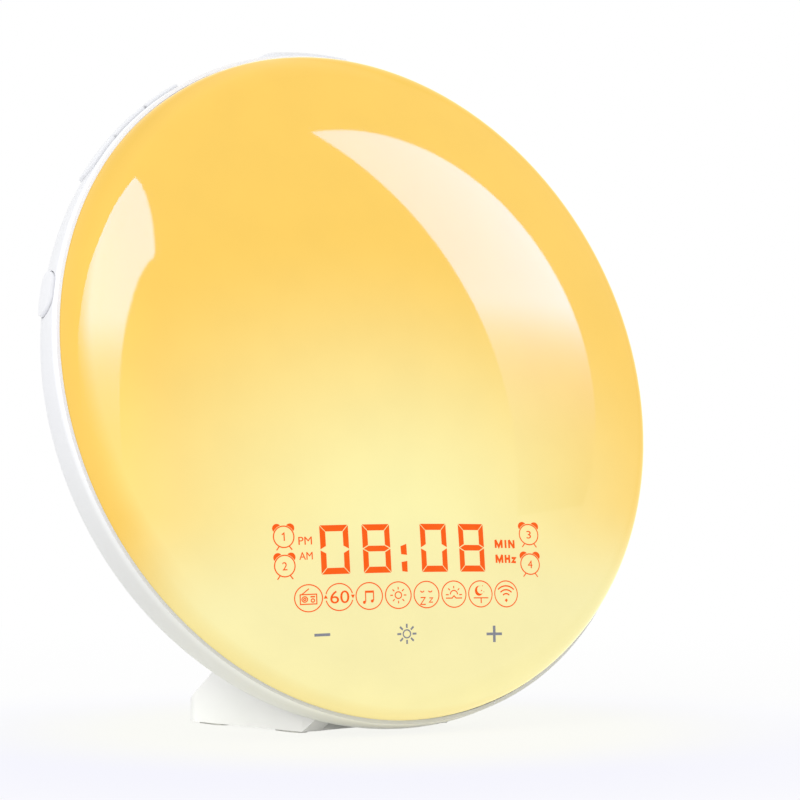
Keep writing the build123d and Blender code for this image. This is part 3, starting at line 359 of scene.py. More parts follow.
# %% Small lamp finishes
LENS_CELLS = 900.0
LENS_GLOW = 0.6


def lamp_lens(name, colour, edge):
    """A small lens that gives light: brighter at its middle cells than between them."""
    finish, tree, shader = new_finish(name)
    cells = add_node(tree, "ShaderNodeTexVoronoi")
    cells.inputs["Scale"].default_value = LENS_CELLS
    tree.links.new(object_place(tree), cells.inputs["Vector"])
    tint = blend(tree, cells.outputs["Distance"], colour, edge)
    tree.links.new(tint, shader.inputs["Base Color"])
    tree.links.new(tint, shader.inputs["Emission Color"])
    shader.inputs["Emission Strength"].default_value = LENS_GLOW
    shader.inputs["Roughness"].default_value = 0.2
    return finish


lamp_yellow = lamp_lens("lamp_yellow", screen(255, 244, 190), screen(250, 214, 110))
lamp_orange = lamp_lens("lamp_orange", screen(255, 130, 50), screen(240, 84, 24))
print("lamp finishes ready")

# %% [markdown]
# ## The lit diffuser
#
# The diffuser is glossy milk-white plastic, and all the colour on it is light from inside: amber at the
# top, a pale yellow glow round the clock display and an even cream at the foot. Two shares drive the
# colour, both from the place on the face: how near a point is to the glow, and how far down it is. The
# same colour goes to the base and to the emission, so the dome shades a little like plastic but looks
# lit. Where the dome turns over at its rim, less light comes through and the tone deepens.

# %% Diffuser colours by place
AMBER = screen(255, 210, 98)
GLOW = screen(255, 247, 178)
CREAM = screen(251, 241, 177)
RIM_AMBER = screen(247, 204, 100)
RIM_CREAM = screen(248, 231, 158)
GLOW_PLACE = Vector((-7.4, -46.8, 0.0))
GLOW_REACH = Vector((126.4, 85.6, 1e6))
CREAM_START, CREAM_END = -36.9, -67.7
AMBER_EDGE, CREAM_EDGE, RIM_EDGE = 89.5, 92.0, 94.0

diffuser_lit, tree, shader = new_finish("diffuser_lit")
place = lamp_place(tree)
across, up, _ = parts_of(tree, place)

# How near the glow: 1 at its middle, 0 at its reach, which is so deep that depth hardly counts
from_glow = add_node(tree, "ShaderNodeMapping", vector_type="TEXTURE")
from_glow.inputs["Location"].default_value = GLOW_PLACE * MM
from_glow.inputs["Scale"].default_value = GLOW_REACH * MM
tree.links.new(place, from_glow.inputs["Vector"])
glow_distance = vector_step(tree, "LENGTH", from_glow.outputs["Vector"]).outputs["Value"]
glow_share = spread(tree, glow_distance, 1.0, 0.0, 0.0, 1.0, "SMOOTHSTEP")

# How far down the face, and how near the rim
cream_share = spread(tree, up, 0.0, 1.0, CREAM_START * MM, CREAM_END * MM, "SMOOTHSTEP")
flat = vector_step(tree, "MULTIPLY", place, (1.0, 1.0, 0.0)).outputs["Vector"]
rim_distance = vector_step(tree, "LENGTH", flat).outputs["Value"]
amber_edge = spread(tree, rim_distance, 0.0, 1.0, AMBER_EDGE * MM, RIM_EDGE * MM)
cream_edge = spread(tree, rim_distance, 0.0, 1.0, CREAM_EDGE * MM, RIM_EDGE * MM)

amber_tone = blend(tree, amber_edge, blend(tree, glow_share, AMBER, GLOW), RIM_AMBER)
cream_tone = blend(tree, cream_edge, CREAM, RIM_CREAM)
lit_tone = blend(tree, cream_share, amber_tone, cream_tone)
print("diffuser colours:", len(tree.nodes), "nodes")

# %% [markdown]
# ## The way the diffuser faces
#
# A glossy dome shows mirror images, and they show the least unevenness where a mesh has long thin faces.
# So the shader works out the way the skin faces from the shape itself: out from the middle of the ball,
# or, on the shoulder, out from the nearest place on the shoulder's ring. The mesh says nearly the same.

# %% Facing of the ball and the shoulder
ring_way = vector_step(tree, "NORMALIZE", flat).outputs["Vector"]
ring_point = scaled(tree, ring_way, SHOULDER_RING * MM)
ball_middle = (0.0, 0.0, -DOME_DROP * MM)
on_shoulder = combine(tree, rim_distance, SHOULDER_START * MM, "GREATER_THAN")
middle = blend(tree, on_shoulder, ball_middle, ring_point, "VECTOR")
outward = vector_step(tree, "SUBTRACT", place, middle).outputs["Vector"]
facing = add_node(tree, "ShaderNodeMapping", vector_type="NORMAL")
facing.inputs["Rotation"].default_value = lamp_turn
tree.links.new(outward, facing.inputs["Vector"])
tree.links.new(facing.outputs["Vector"], shader.inputs["Normal"])
print("with facing:", len(tree.nodes), "nodes")

# %% [markdown]
# ## How much the diffuser glows and shines
#
# Most of what the eye sees is light from inside, and a lesser share is the plastic's own reflection. A
# slow noise makes both a little uneven. The left and lower edges turn away from the studio's lamps, so
# their emission is lifted a little as painted light that evens out their shade. The outermost rim shines
# less, from further in on the right than on the left.

# %% Diffuser glow and shine
DIFFUSER_EMISSION = 0.76
DIFFUSER_BASE = 0.24
DIFFUSER_SHEEN = 0.2
DIFFUSER_ROUGHNESS = 0.03
RIM_SHEEN = 0.02
# How far painted light lifts the emission on the left and lower edges
PAINTED_EDGE_LIFT = 1.105
MOTTLE_WAVES = 60.0
MOTTLE = 0.015
LEFT_START, LEFT_END = -70.0, -88.0
LOW_START, LOW_END, LOW_PAINTED_LIFT = -30.0, -60.0, 0.4
LOW_EDGE_START, LOW_EDGE_END = 84.0, 91.0
SHINE_START, SHINE_END = 90.0, 92.5
RIGHT_SHIFT, RIGHT_REACH = 5.0, 20.0

mottle = spread(tree, noise(tree, place, MOTTLE_WAVES, 3.0), 1.0 - MOTTLE, 1.0 + MOTTLE)
uneven = scaled(tree, lit_tone, mottle)
tree.links.new(scaled(tree, uneven, DIFFUSER_BASE), shader.inputs["Base Color"])

# Painted light: the emission is lifted on the left and lower edges, where the studio lamps leave shade
left = spread(tree, across, 0.0, 1.0, LEFT_START * MM, LEFT_END * MM, "SMOOTHSTEP")
low = spread(tree, up, 0.0, LOW_PAINTED_LIFT, LOW_START * MM, LOW_END * MM)
painted_lift_rim_mask = spread(tree, rim_distance, 0.0, 1.0, LOW_EDGE_START * MM, LOW_EDGE_END * MM)
painted_lift_share = combine(tree, left, combine(tree, low, painted_lift_rim_mask), "MAXIMUM")
painted_lift = spread(tree, painted_lift_share, 1.0, PAINTED_EDGE_LIFT, 0.0, 1.0)
tree.links.new(scaled(tree, uneven, painted_lift), shader.inputs["Emission Color"])
shader.inputs["Emission Strength"].default_value = DIFFUSER_EMISSION

shift = spread(tree, across, 0.0, RIGHT_SHIFT * MM, -RIGHT_REACH * MM, RIGHT_REACH * MM)
shine_distance = combine(tree, rim_distance, shift, "ADD")
sheen = spread(tree, shine_distance, DIFFUSER_SHEEN, RIM_SHEEN, SHINE_START * MM, SHINE_END * MM)
shader.inputs["Specular IOR Level"].default_value = DIFFUSER_SHEEN
tree.links.new(sheen, shader.inputs["Specular IOR Level"])
shader.inputs["Roughness"].default_value = DIFFUSER_ROUGHNESS
print("diffuser finish:", len(tree.nodes), "nodes")

# %% [markdown]
# ## Give each solid its finish
#
# A solid whose shape is right keeps it, and only its material slots change. The table below goes by
# each piece's real material. Names that several pieces share a part of are matched by that part.

# %% Finishes by piece
FINISHES = {
    "diffuser_dome": diffuser_lit,
    "rear_housing": case_white,
    "stand_base": foot_white,
    "stand_cover": foot_white,
    "battery_door": door_white,
    "rubber_feet": pad_pale,
    "aerial_bush": pad_rubber,
    "reflector_dish": works_white,
    "display_shroud": works_white,
    "led_board": board_white,
    "display_board": board_green,
    "main_board": board_green,
    "light_leds": lamp_yellow,
    "display_leds": lamp_orange,
    "touch_pads": touch_foam,
    "switch_bodies": works_black,
    "control_chips": works_black,
    "dc_jack": works_black,
    "battery_holder": works_grey,
    "board_capacitors": can_metal,
    "wifi_module": can_metal,
    "display_cable": ribbon_film,
    "speaker_frame": basket_black,
    "speaker_magnet": magnet_metal,
    "speaker_cone": cone_paper,
    "coin_cell": cell_steel,
    "battery_contact": cell_steel,
}
SHARED_FINISHES = (
    ("screws", screw_steel),
    ("key_board", board_green),
    ("plunger", works_black),
    ("key", key_white),
)


def finish_for(node_name):
    """The finish in the table, or else the first one whose word is in the name."""
    if node_name in FINISHES:
        return FINISHES[node_name]
    return next(finish for word, finish in SHARED_FINISHES if word in node_name)


for node_name, solid in nodes.items():
    solid.data.materials.clear()
    solid.data.materials.append(finish_for(node_name))
print("finished solids:", len(nodes))

# %% [markdown]
# ## Marks on the face
#
# The display's figures and the touch symbols show on the dome's skin. Each is a thin flat sheet that
# follows the dome, a few hundredths of a millimetre proud of it. They are drawn as 2-D outlines in lamp
# coordinates with small tools for bands, rings, patches and words. A last step lifts every corner to the
# dome's height and gives the sheet its thickness. Real geometry keeps the edges sharp at any distance.

# %% Drawing tools
MARK_PROUD = 0.05
MARK_DEPTH = 0.12
ROW_TILT = math.radians(-0.8)
ROW_MIDDLE = Vector((-5.0, -55.0, 0.0))
RING_STEPS = 48
MITRE_LIMIT = 0.5


def add_patch(sheet, corners):
    """A filled outline. It may be hollow-sided, so it is cut into triangles."""
    points = [sheet.verts.new((x, v, 0.0)) for x, v in corners]
    patch = sheet.faces.new(points)
    patch.normal_update()
    bmesh.ops.triangulate(sheet, faces=[patch])


def add_band(sheet, points, width, closed=False):
    """A line of even width along a path, with its corners mitred."""
    count = len(points)
    sides = []
    for number, point in enumerate(points):
        here = Vector(point)
        before = Vector(points[number - 1]) if number or closed else None
        after = Vector(points[(number + 1) % count]) if number < count - 1 or closed else None
        ways = []
        if before is not None:
            ways.append((here - before).normalized())
        if after is not None:
            ways.append((after - here).normalized())
        way = sum(ways, Vector((0.0, 0.0))).normalized()
        across = Vector((-way.y, way.x)) * (width / 2 / max(MITRE_LIMIT, way.dot(ways[0])))
        left, right = here + across, here - across
        sides.append((sheet.verts.new((*left, 0.0)), sheet.verts.new((*right, 0.0))))
    for number in range(count if closed else count - 1):
        (a, b), (c, d) = sides[number], sides[(number + 1) % count]
        sheet.faces.new((a, b, d, c))


def arc_points(centre, radius, start=0.0, end=360.0, stretch=1.0, steps=RING_STEPS):
    """Points on an arc, angles in degrees from the x direction; stretch widens it across."""
    whole = abs(end - start) >= 360
    count = max(4, round(steps * abs(end - start) / 360))
    points = []
    for number in range(count if whole else count + 1):
        turn = math.radians(start + (end - start) * number / count)
        x, v = radius * stretch * math.cos(turn), radius * math.sin(turn)
        points.append((centre[0] + x, centre[1] + v))
    return points


def add_ring(sheet, centre, radius, width, start=0.0, end=360.0, stretch=1.0):
    """A circle or part of one, drawn as a line."""
    points = arc_points(centre, radius, start, end, stretch)
    add_band(sheet, points, width, closed=abs(end - start) >= 360)


def add_disc(sheet, centre, radius):
    """A filled circle."""
    add_patch(sheet, arc_points(centre, radius, steps=24))


def add_word(sheet, text, centre, height, width):
    """Plain lettering, fitted to a height and a width."""
    letters = bpy.data.curves.new("lettering", "FONT")
    letters.body = text
    letters.resolution_u = 4
    holder = bpy.data.objects.new("lettering", letters)
    bpy.context.scene.collection.objects.link(holder)
    bpy.context.view_layer.update()
    finished = holder.evaluated_get(bpy.context.evaluated_depsgraph_get())
    flat_mesh = bpy.data.meshes.new_from_object(finished)
    bpy.data.objects.remove(holder)
    bpy.data.curves.remove(letters)
    lows = [min(p.co[axis] for p in flat_mesh.vertices) for axis in (0, 1)]
    highs = [max(p.co[axis] for p in flat_mesh.vertices) for axis in (0, 1)]
    for point in flat_mesh.vertices:
        across = (point.co.x - lows[0]) / (highs[0] - lows[0]) - 0.5
        up = (point.co.y - lows[1]) / (highs[1] - lows[1]) - 0.5
        point.co = (centre[0] + across * width, centre[1] + up * height, 0.0)
    sheet.from_mesh(flat_mesh)
    bpy.data.meshes.remove(flat_mesh)


print("drawing tools ready")

# %% [markdown]
# ## From a drawing to a piece
#
# A drawing is flat. To become a piece it is turned a touch, as the whole display is, and doubled: one
# copy of its corners goes just proud of the dome and the other a little below it. The faces between the
# two close the sheet. Then it leaves lamp coordinates for the frame's metres and rides on the lamp.


# %% Lay a drawing on the dome
def lay_on_face(name, sheet, finish):
    """Lift a flat drawing to the dome, give it thickness and fix it to the lamp."""
    tilt = Matrix.Rotation(ROW_TILT, 3, "Z")
    bmesh.ops.rotate(sheet, verts=sheet.verts, cent=ROW_MIDDLE, matrix=tilt)
    bmesh.ops.recalc_face_normals(sheet, faces=sheet.faces)
    upside_down = [face for face in sheet.faces if face.normal.z < 0]
    bmesh.ops.reverse_faces(sheet, faces=upside_down)
    skin = bmesh.ops.extrude_face_region(sheet, geom=list(sheet.faces), use_keep_orig=True)
    raised = [item for item in skin["geom"] if isinstance(item, bmesh.types.BMVert)]
    raised_set = set(raised)
    for point in sheet.verts:
        top = dome_height(point.co.x, point.co.y) + MARK_PROUD
        point.co.z = top if point in raised_set else top - MARK_DEPTH
    bmesh.ops.recalc_face_normals(sheet, faces=sheet.faces)
    sheet.transform(lamp_frame @ Matrix.Scale(MM, 4))
    mesh = bpy.data.meshes.new(name)
    sheet.to_mesh(mesh)
    sheet.free()
    mark = bpy.data.objects.new(name, mesh)
    bpy.context.scene.collection.objects.link(mark)
    mark.data.materials.append(finish)
    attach(mark, "lamp")
    print(name, "faces:", len(mesh.polygons))


# %% [markdown]
# ## Finishes of the marks
#
# The figures glow orange through the diffuser, with a slightly uneven brightness from the lamps behind.
# The touch symbols are grey print.

# %% Mark finishes
LAMP_WAVES = 350.0
INK_WAVES = 900.0
LIT_SHEEN = 0.1

display_orange, tree, shader = new_finish("display_orange")
place = object_place(tree)
uneven_light = spread(tree, noise(tree, place, LAMP_WAVES), 0.0, 1.0)
figure_tone = blend(tree, uneven_light, screen(255, 100, 20), screen(255, 94, 14))
tree.links.new(scaled(tree, figure_tone, DIFFUSER_BASE), shader.inputs["Base Color"])
tree.links.new(figure_tone, shader.inputs["Emission Color"])
shader.inputs["Emission Strength"].default_value = DIFFUSER_EMISSION
shader.inputs["Roughness"].default_value = 0.12
shader.inputs["Specular IOR Level"].default_value = LIT_SHEEN

print_grey, tree, shader = new_finish("print_grey")
place = object_place(tree)
ink = spread(tree, noise(tree, place, INK_WAVES, 3.0), 0.0, 1.0)
ink_tone = blend(tree, ink, screen(140, 143, 156), screen(133, 136, 149))
tree.links.new(ink_tone, shader.inputs["Base Color"])
shader.inputs["Roughness"].default_value = 0.3
print("mark finishes ready")

# %% [markdown]
# ## The time
#
# Each digit has up to seven bars that meet in mitres, with a fine light line between them. The side bars
# end in a slant where the middle bar's tip comes between them. The colon is two slanted blocks.

# %% Digits and colon
DIGIT_PLACES = (-29.9, -17.2, 1.1, 13.8)
DIGIT_LEVEL = -51.1
DIGIT_HEIGHT = 12.7
DIGIT_WIDTH = 8.5
BAR = 1.62
BAR_GAP = 0.15
DIGIT_BARS = {"0": "abcdef", "8": "abcdefg"}


def flip_up(outline):
    """The outline turned upside down."""
    return [(x, -v) for x, v in outline]


def flip_across(outline):
    """The outline turned left to right."""
    return [(-x, v) for x, v in outline]


def digit_bar_outlines():
    """The outlines of the seven bars, named a to g as on any such display, about the digit's middle."""
    right, top = DIGIT_WIDTH / 2, DIGIT_HEIGHT / 2
    inner_right, inner_top = right - BAR, top - BAR
    half, gap = BAR / 2, BAR_GAP
    a = [(-right + gap, top), (right - gap, top)]
    a += [(inner_right - gap, inner_top), (-inner_right + gap, inner_top)]
    b = [(right, top - gap), (right, gap), (inner_right, half + gap), (inner_right, inner_top - gap)]
    upper = [(-inner_right + gap, half - gap / 2), (inner_right - gap, half - gap / 2)]
    g = [(-right + 2 * gap, 0.0), *upper, (right - 2 * gap, 0.0), *flip_up(upper)[::-1]]
    c, d, f = flip_up(b), flip_up(a), flip_across(b)
    return dict(zip("abcdefg", (a, b, c, d, flip_up(f), f, g)))


bar_outlines = digit_bar_outlines()
sheet = bmesh.new()
for place_x, figure in zip(DIGIT_PLACES, "0808"):
    for bar in DIGIT_BARS[figure]:
        add_patch(sheet, [(place_x + x, DIGIT_LEVEL + v) for x, v in bar_outlines[bar]])
lay_on_face("clock_digits", sheet, display_orange)

COLON_UPPER = [(-9.7, -50.6), (-7.85, -50.0), (-7.8, -52.9), (-9.6, -52.7)]
COLON_LOWER = [(-9.6, -54.75), (-7.8, -54.5), (-7.85, -57.35), (-9.5, -57.15)]
sheet = bmesh.new()
add_patch(sheet, COLON_UPPER)
add_patch(sheet, COLON_LOWER)
lay_on_face("clock_colon", sheet, display_orange)

# %% [markdown]
# ## Alarm marks
#
# Beside the time stand four small alarm clocks, numbered, with filled bells and two feet.

# %% Alarm clocks
ALARM_PLACES = ((-44.6, -47.4), (-44.7, -54.9), (34.5, -47.3), (34.4, -55.3))
ALARM_STRETCH = (1.06, 1.06, 1.25, 1.25)
ALARM_RADIUS = 2.75
ALARM_LINE = 0.3
ALARM_LEG = ((1.4, -2.5), (2.1, -3.4))
ALARM_ONE = ((-0.5, 0.55), (0.12, 0.95), (0.12, -1.05))


def bell_points(side):
    """The outline of a bell, in clock radii: what of a disc stands outside the clock's circle."""
    outline = arc_points((0.0, 0.0), 1.1, 28, 74)
    outline += arc_points((0.65, 0.8), 0.43, 143, -41, steps=40)
    return [(side * x, v) for x, v in outline]


sheet = bmesh.new()
for number, ((x, v), stretch) in enumerate(zip(ALARM_PLACES, ALARM_STRETCH), start=1):
    add_ring(sheet, (x, v), ALARM_RADIUS, ALARM_LINE, stretch=stretch)
    for side in (1, -1):
        wide = ALARM_RADIUS * stretch
        add_patch(sheet, [(x + bx * wide, v + bv * ALARM_RADIUS) for bx, bv in bell_points(side)])
        add_band(sheet, [(x + side * lx * stretch, v + lv) for lx, lv in ALARM_LEG], ALARM_LINE)
    if number == 1:
        add_band(sheet, [(x + ox, v + ov) for ox, ov in ALARM_ONE], ALARM_LINE)
    else:
        add_word(sheet, str(number), (x, v - 0.05), 2.1, 1.3 * stretch)
lay_on_face("alarm_marks", sheet, display_orange)

# %% [markdown]
# ## Words
#
# Plain words name the half of the day, the minutes and the radio's band. AM and PM are light and come
# from Blender's own font. MIN and MHz are bold, so their letters are drawn as strokes in a unit square.

# %% Words, light and bold
WORDS = (("PM", (-38.5, -48.6), 2.05, 3.9), ("AM", (-38.5, -52.5), 1.95, 3.9))
BOLD = 0.6
BOLD_HEIGHT = 2.15
BOLD_START = 21.95
BOLD_REACH = 7.1
BOLD_LETTERS = {
    "M": (((0, 0), (0, 1)), ((1, 0), (1, 1)), ((0, 1), (0.5, 0.15), (1, 1))),
    "I": (((0, 0), (0, 1)),),
    "N": (((0, 0), (0, 1)), ((1, 0), (1, 1)), ((0, 1), (1, 0))),
    "H": (((0, 0), (0, 1)), ((1, 0), (1, 1)), ((0, 0.53), (1, 0.53))),
    "z": (((-0.2, 0.62), (1, 0.62), (0, 0.12), (1.2, 0.12)),),
}
BOLD_WORDS = (
    (-50.0, (("M", 0.0, 0.39), ("I", 0.5, 0.57), ("N", 0.68, 1.0))),
    (-54.0, (("M", 0.0, 0.38), ("H", 0.46, 0.73), ("z", 0.8, 1.03))),
)

sheet = bmesh.new()
for text, centre, height, width in WORDS:
    add_word(sheet, text, centre, height, width)
for level, letters in BOLD_WORDS:
    for letter, start, end in letters:
        left = BOLD_START + start * BOLD_REACH + BOLD / 2
        right = BOLD_START + end * BOLD_REACH - BOLD / 2
        low, high = level - BOLD_HEIGHT / 2, level + BOLD_HEIGHT / 2
        for stroke in BOLD_LETTERS[letter]:
            path = [(left + (right - left) * x, low + (high - low) * v) for x, v in stroke]
            add_band(sheet, path, BOLD)
lay_on_face("word_marks", sheet, display_orange)

# %% [markdown]
# ## Function marks
#
# Under the time runs a row of eight round marks: radio, minutes of sleep, music, light, snooze, sunrise,
# night and wireless. Each is drawn in its own unit, where the circle's radius is 1, by a small drawing
# class that moves and scales to the mark's place.

# %% A pen for round marks
MARK_ROW_X = -6.55
MARK_ROW_LEVEL = -63.35
MARK_PITCH = 9.05
HALF_ROW = 3.5
MARK_RADIUS = 3.45
MARK_STRETCH = 1.175
FINE = 0.28
BROAD = 0.36


class RoundMark:
    """Draws in units of the mark's radius, at the mark's place."""

    def __init__(self, sheet, number):
        self.sheet = sheet
        self.centre = (MARK_ROW_X + (number - HALF_ROW) * MARK_PITCH, MARK_ROW_LEVEL)

    def at(self, x, v):
        return (self.centre[0] + x * MARK_RADIUS * MARK_STRETCH, self.centre[1] + v * MARK_RADIUS)

    def line(self, *points, width=FINE):
        add_band(self.sheet, [self.at(*point) for point in points], width)

    def ring(self, x, v, radius, start=0.0, end=360.0, width=FINE):
        add_ring(self.sheet, self.at(x, v), radius * MARK_RADIUS, width, start, end, MARK_STRETCH)

    def dot(self, x, v, radius):
        add_disc(self.sheet, self.at(x, v), radius * MARK_RADIUS)

    def patch(self, *points):
        add_patch(self.sheet, [self.at(*point) for point in points])

    def word(self, text, x, v, height, width):
        wide = width * MARK_RADIUS * MARK_STRETCH
        add_word(self.sheet, text, self.at(x, v), height * MARK_RADIUS, wide)

    def rays(self, count, first, step, inner, outer, x=0.0, v=0.0):
        for number in range(count):
            turn = math.radians(first + number * step)
            way = (math.cos(turn), math.sin(turn))
            self.line(*[(x + way[0] * reach, v + way[1] * reach) for reach in (inner, outer)])


print("row of marks reaches", HALF_ROW * MARK_PITCH, "mm to each side of its middle")

# %% [markdown]
# ## The eight marks
#
# One short function draws each mark, from left to right. Its places are shares of the circle's radius,
# so the marks can be made larger or moved as one.


# %% Draw the marks
def draw_radio(pen):
    pen.ring(0, 0, 1)
    pen.line((-0.6, 0.28), (0.58, 0.28), (0.58, -0.44), (-0.6, -0.44), (-0.6, 0.3))
    pen.line((-0.46, 0.3), (0.04, 0.7))
    pen.ring(-0.28, -0.08, 0.2)
    pen.ring(-0.28, -0.08, 0.08)
    pen.ring(0.3, -0.18, 0.12)
    pen.line((0.14, 0.1), (0.46, 0.1), width=BROAD)


def draw_minutes(pen):
    pen.ring(0, 0, 1, 14, 166)
    pen.ring(0, 0, 1, 194, 346)
    pen.patch((-1.15, -0.08), (-0.85, -0.08), (-1.0, 0.18))
    pen.patch((1.15, 0.14), (0.85, 0.14), (1.0, -0.14))
    pen.word("60", 0.03, 0, 0.94, 1.4)


def draw_music(pen):
    pen.ring(0, 0, 1)
    pen.patch((-0.31, 0.4), (0.35, 0.4), (0.35, 0.24), (-0.31, 0.24))
    pen.line((-0.28, 0.3), (-0.28, -0.42))
    pen.line((0.32, 0.3), (0.32, -0.34))
    pen.dot(-0.39, -0.46, 0.12)
    pen.dot(0.21, -0.38, 0.12)


def draw_light(pen):
    pen.ring(0, 0, 1)
    pen.ring(0, 0, 0.25)
    pen.rays(8, 0, 45, 0.43, 0.62)


def draw_snooze(pen):
    pen.ring(0, 0, 1)
    pen.ring(-0.34, 0.34, 0.15, 200, 340)
    pen.ring(0.3, 0.34, 0.15, 200, 340)
    pen.line((-0.48, -0.22), (-0.12, -0.22), (-0.5, -0.74), (-0.1, -0.74), width=0.3)
    pen.line((0.22, -0.26), (0.48, -0.26), (0.2, -0.58), (0.48, -0.58))


def draw_sunrise(pen):
    pen.ring(0, 0, 1)
    pen.ring(0, -0.02, 0.3, 0, 180)
    pen.rays(3, 45, 45, 0.46, 0.64, v=-0.02)
    pen.line((-0.66, -0.04), (-0.44, -0.04))
    pen.line((0.44, -0.04), (0.66, -0.04))
    pen.line((-0.66, -0.3), (-0.16, -0.3), (0, -0.12), (0.16, -0.3), (0.66, -0.3))


def draw_night(pen):
    pen.ring(0, 0, 1)
    outer = arc_points((-0.12, 0.24), 0.38, 75, 330, stretch=0.34 / 0.38, steps=24)
    inner = arc_points((0.02, 0.32), 0.31, 300, 90, stretch=0.3 / 0.31, steps=24)
    pen.patch(*outer, *inner)
    pen.dot(0.2, 0.62, 0.035)
    pen.dot(0.1, 0.26, 0.05)
    pen.dot(0.3, 0.16, 0.035)
    pen.line((-0.58, -0.3), (0.66, -0.3))
    pen.line((0.04, -0.3), (0.04, -0.7), width=0.34)


def draw_wireless(pen):
    pen.ring(0, 0, 1)
    for radius in (0.4, 0.7, 1.0):
        pen.ring(0, -0.38, radius, 46, 134, width=BROAD)
    pen.patch((-0.13, -0.48), (0, -0.36), (0.13, -0.48), (0, -0.64))


sheet = bmesh.new()
painters = (draw_radio, draw_minutes, draw_music, draw_light)
painters += (draw_snooze, draw_sunrise, draw_night, draw_wireless)
for number, draw in enumerate(painters):
    draw(RoundMark(sheet, number))
lay_on_face("function_marks", sheet, display_orange)

# %% [markdown]
# ## Touch symbols
#
# Three symbols mark where a finger works the lamp: less, light and more. They are print, so they are
# grey and give no light.

# %% Minus, sun and plus
TOUCH_LEVEL = -73.4
MINUS_X, SUN_X, PLUS_X = -34.5, -8.7, 20.5
STROKE = 0.7
MINUS_RAISE, MINUS_REACH = 0.6, 2.3
PLUS_DROP, PLUS_REACH, PLUS_RISE, PLUS_HALF = 0.5, 2.7, 2.15, STROKE * 0.62
SUN_RADIUS, SUN_LINE, SUN_STRETCH = 1.02, 0.34, 1.15
RAY_COUNT, RAY_LINE, RAY_ENDS, RAY_OVAL = 8, 0.5, (1.65, 2.75), (1.1, 0.94)

sheet = bmesh.new()
level = TOUCH_LEVEL + MINUS_RAISE
add_band(sheet, [(MINUS_X - MINUS_REACH, level), (MINUS_X + MINUS_REACH, level)], STROKE)

wide, half = PLUS_HALF, STROKE / 2
cross = [(wide, half), (wide, PLUS_RISE), (-wide, PLUS_RISE), (-wide, half)]
cross += [(-PLUS_REACH, half), (-PLUS_REACH, -half)]
cross += [(-x, -v) for x, v in cross]
add_patch(sheet, [(PLUS_X + x, TOUCH_LEVEL - PLUS_DROP + v) for x, v in cross])

add_ring(sheet, (SUN_X, TOUCH_LEVEL), SUN_RADIUS, SUN_LINE, stretch=SUN_STRETCH)
for number in range(RAY_COUNT):
    turn = math.tau * number / RAY_COUNT
    way = Vector((math.cos(turn) * RAY_OVAL[0], math.sin(turn) * RAY_OVAL[1]))
    add_band(sheet, [Vector((SUN_X, TOUCH_LEVEL)) + way * reach for reach in RAY_ENDS], RAY_LINE)
lay_on_face("touch_marks", sheet, print_grey)

# %% [markdown]
# ## The table
#
# The lamp stands on a white table. What lights the lamp from below is the table's plain white surface.
# What the camera sees of it is mostly an even near-white, with a share of the real surface mixed in, so
# that the shadow under the foot stays as a pale one. Two soft tints lie on it: a painted warm pool of
# light where the lamp's own light falls, and a cool one in front. Both go by the distance from a point on
# the table.

# %% Floor
TABLE_RADIUS = 4.0
SHADOW_SHARE = 0.075
COOL_PLACE = (-0.042, -0.060, 0.0)
COOL_REACH = (0.05, 0.23)
# Where the painted warm pool of light lies and how far it reaches; the real surface's share centres there
# too
PAINTED_POOL_PLACE = (0.0, -0.01, 0.0)
PAINTED_POOL_REACH = (0.06, 0.13)
SURFACE_REACH = (0.15, 0.5)
TABLE_WHITE = screen(255, 255, 255)
TABLE_COOL = screen(246, 246, 255)
TABLE_PAINTED_WARM_POOL = screen(252, 252, 247)

bpy.ops.mesh.primitive_circle_add(vertices=96, radius=TABLE_RADIUS, fill_type="NGON")
floor = bpy.context.object
floor.name = "floor"
floor_white, tree, shader = new_finish("floor_white")
place = object_place(tree)


def distance_share(tree, place, centre, reach):
    """1 within the first distance from a point, falling smoothly to 0 at the second."""
    apart = vector_step(tree, "DISTANCE", place, centre).outputs["Value"]
    return spread(tree, apart, 1.0, 0.0, *reach, "SMOOTHSTEP")


cool = distance_share(tree, place, COOL_PLACE, COOL_REACH)
# Painted pool of light: the table turns warm round the lamp's foot
painted_warm_pool = distance_share(tree, place, PAINTED_POOL_PLACE, PAINTED_POOL_REACH)
tint = blend(tree, painted_warm_pool, blend(tree, cool, TABLE_WHITE, TABLE_COOL), TABLE_PAINTED_WARM_POOL)
tree.links.new(tint, shader.inputs["Base Color"])
shader.inputs["Roughness"].default_value = 0.7
shader.inputs["Specular IOR Level"].default_value = 0.2
plain = add_node(tree, "ShaderNodeEmission")
tree.links.new(tint, plain.inputs["Color"])


def seen_directly(tree):
    """1 where the camera looks at a surface, also by a mirror or through glass, else 0."""
    ray = add_node(tree, "ShaderNodeLightPath").outputs
    mirrored = combine(tree, ray["Is Camera Ray"], ray["Is Glossy Ray"], "MAXIMUM")
    return combine(tree, mirrored, ray["Is Transmission Ray"], "MAXIMUM")


# Near the lamp some of the real surface shows, and none of it far away
surface_share = distance_share(tree, place, PAINTED_POOL_PLACE, SURFACE_REACH)
plain_share = spread(tree, surface_share, 1.0, 1.0 - SHADOW_SHARE, 0.0, 1.0)
either = add_node(tree, "ShaderNodeMixShader")
tree.links.new(combine(tree, seen_directly(tree), plain_share), either.inputs["Fac"])
tree.links.new(shader.outputs["BSDF"], either.inputs[1])
tree.links.new(plain.outputs["Emission"], either.inputs[2])
tree.links.new(either.outputs["Shader"], tree.nodes["Material Output"].inputs["Surface"])
floor.data.materials.append(floor_white)
print("floor finish:", len(tree.nodes), "nodes")

# %% [markdown]
# ## The world
#
# The world is plain white where the camera or a glossy surface looks straight at it, and only moderately
# bright as a light, so that the case keeps its shading.

# %% World
WORLD_LIGHT = 0.72

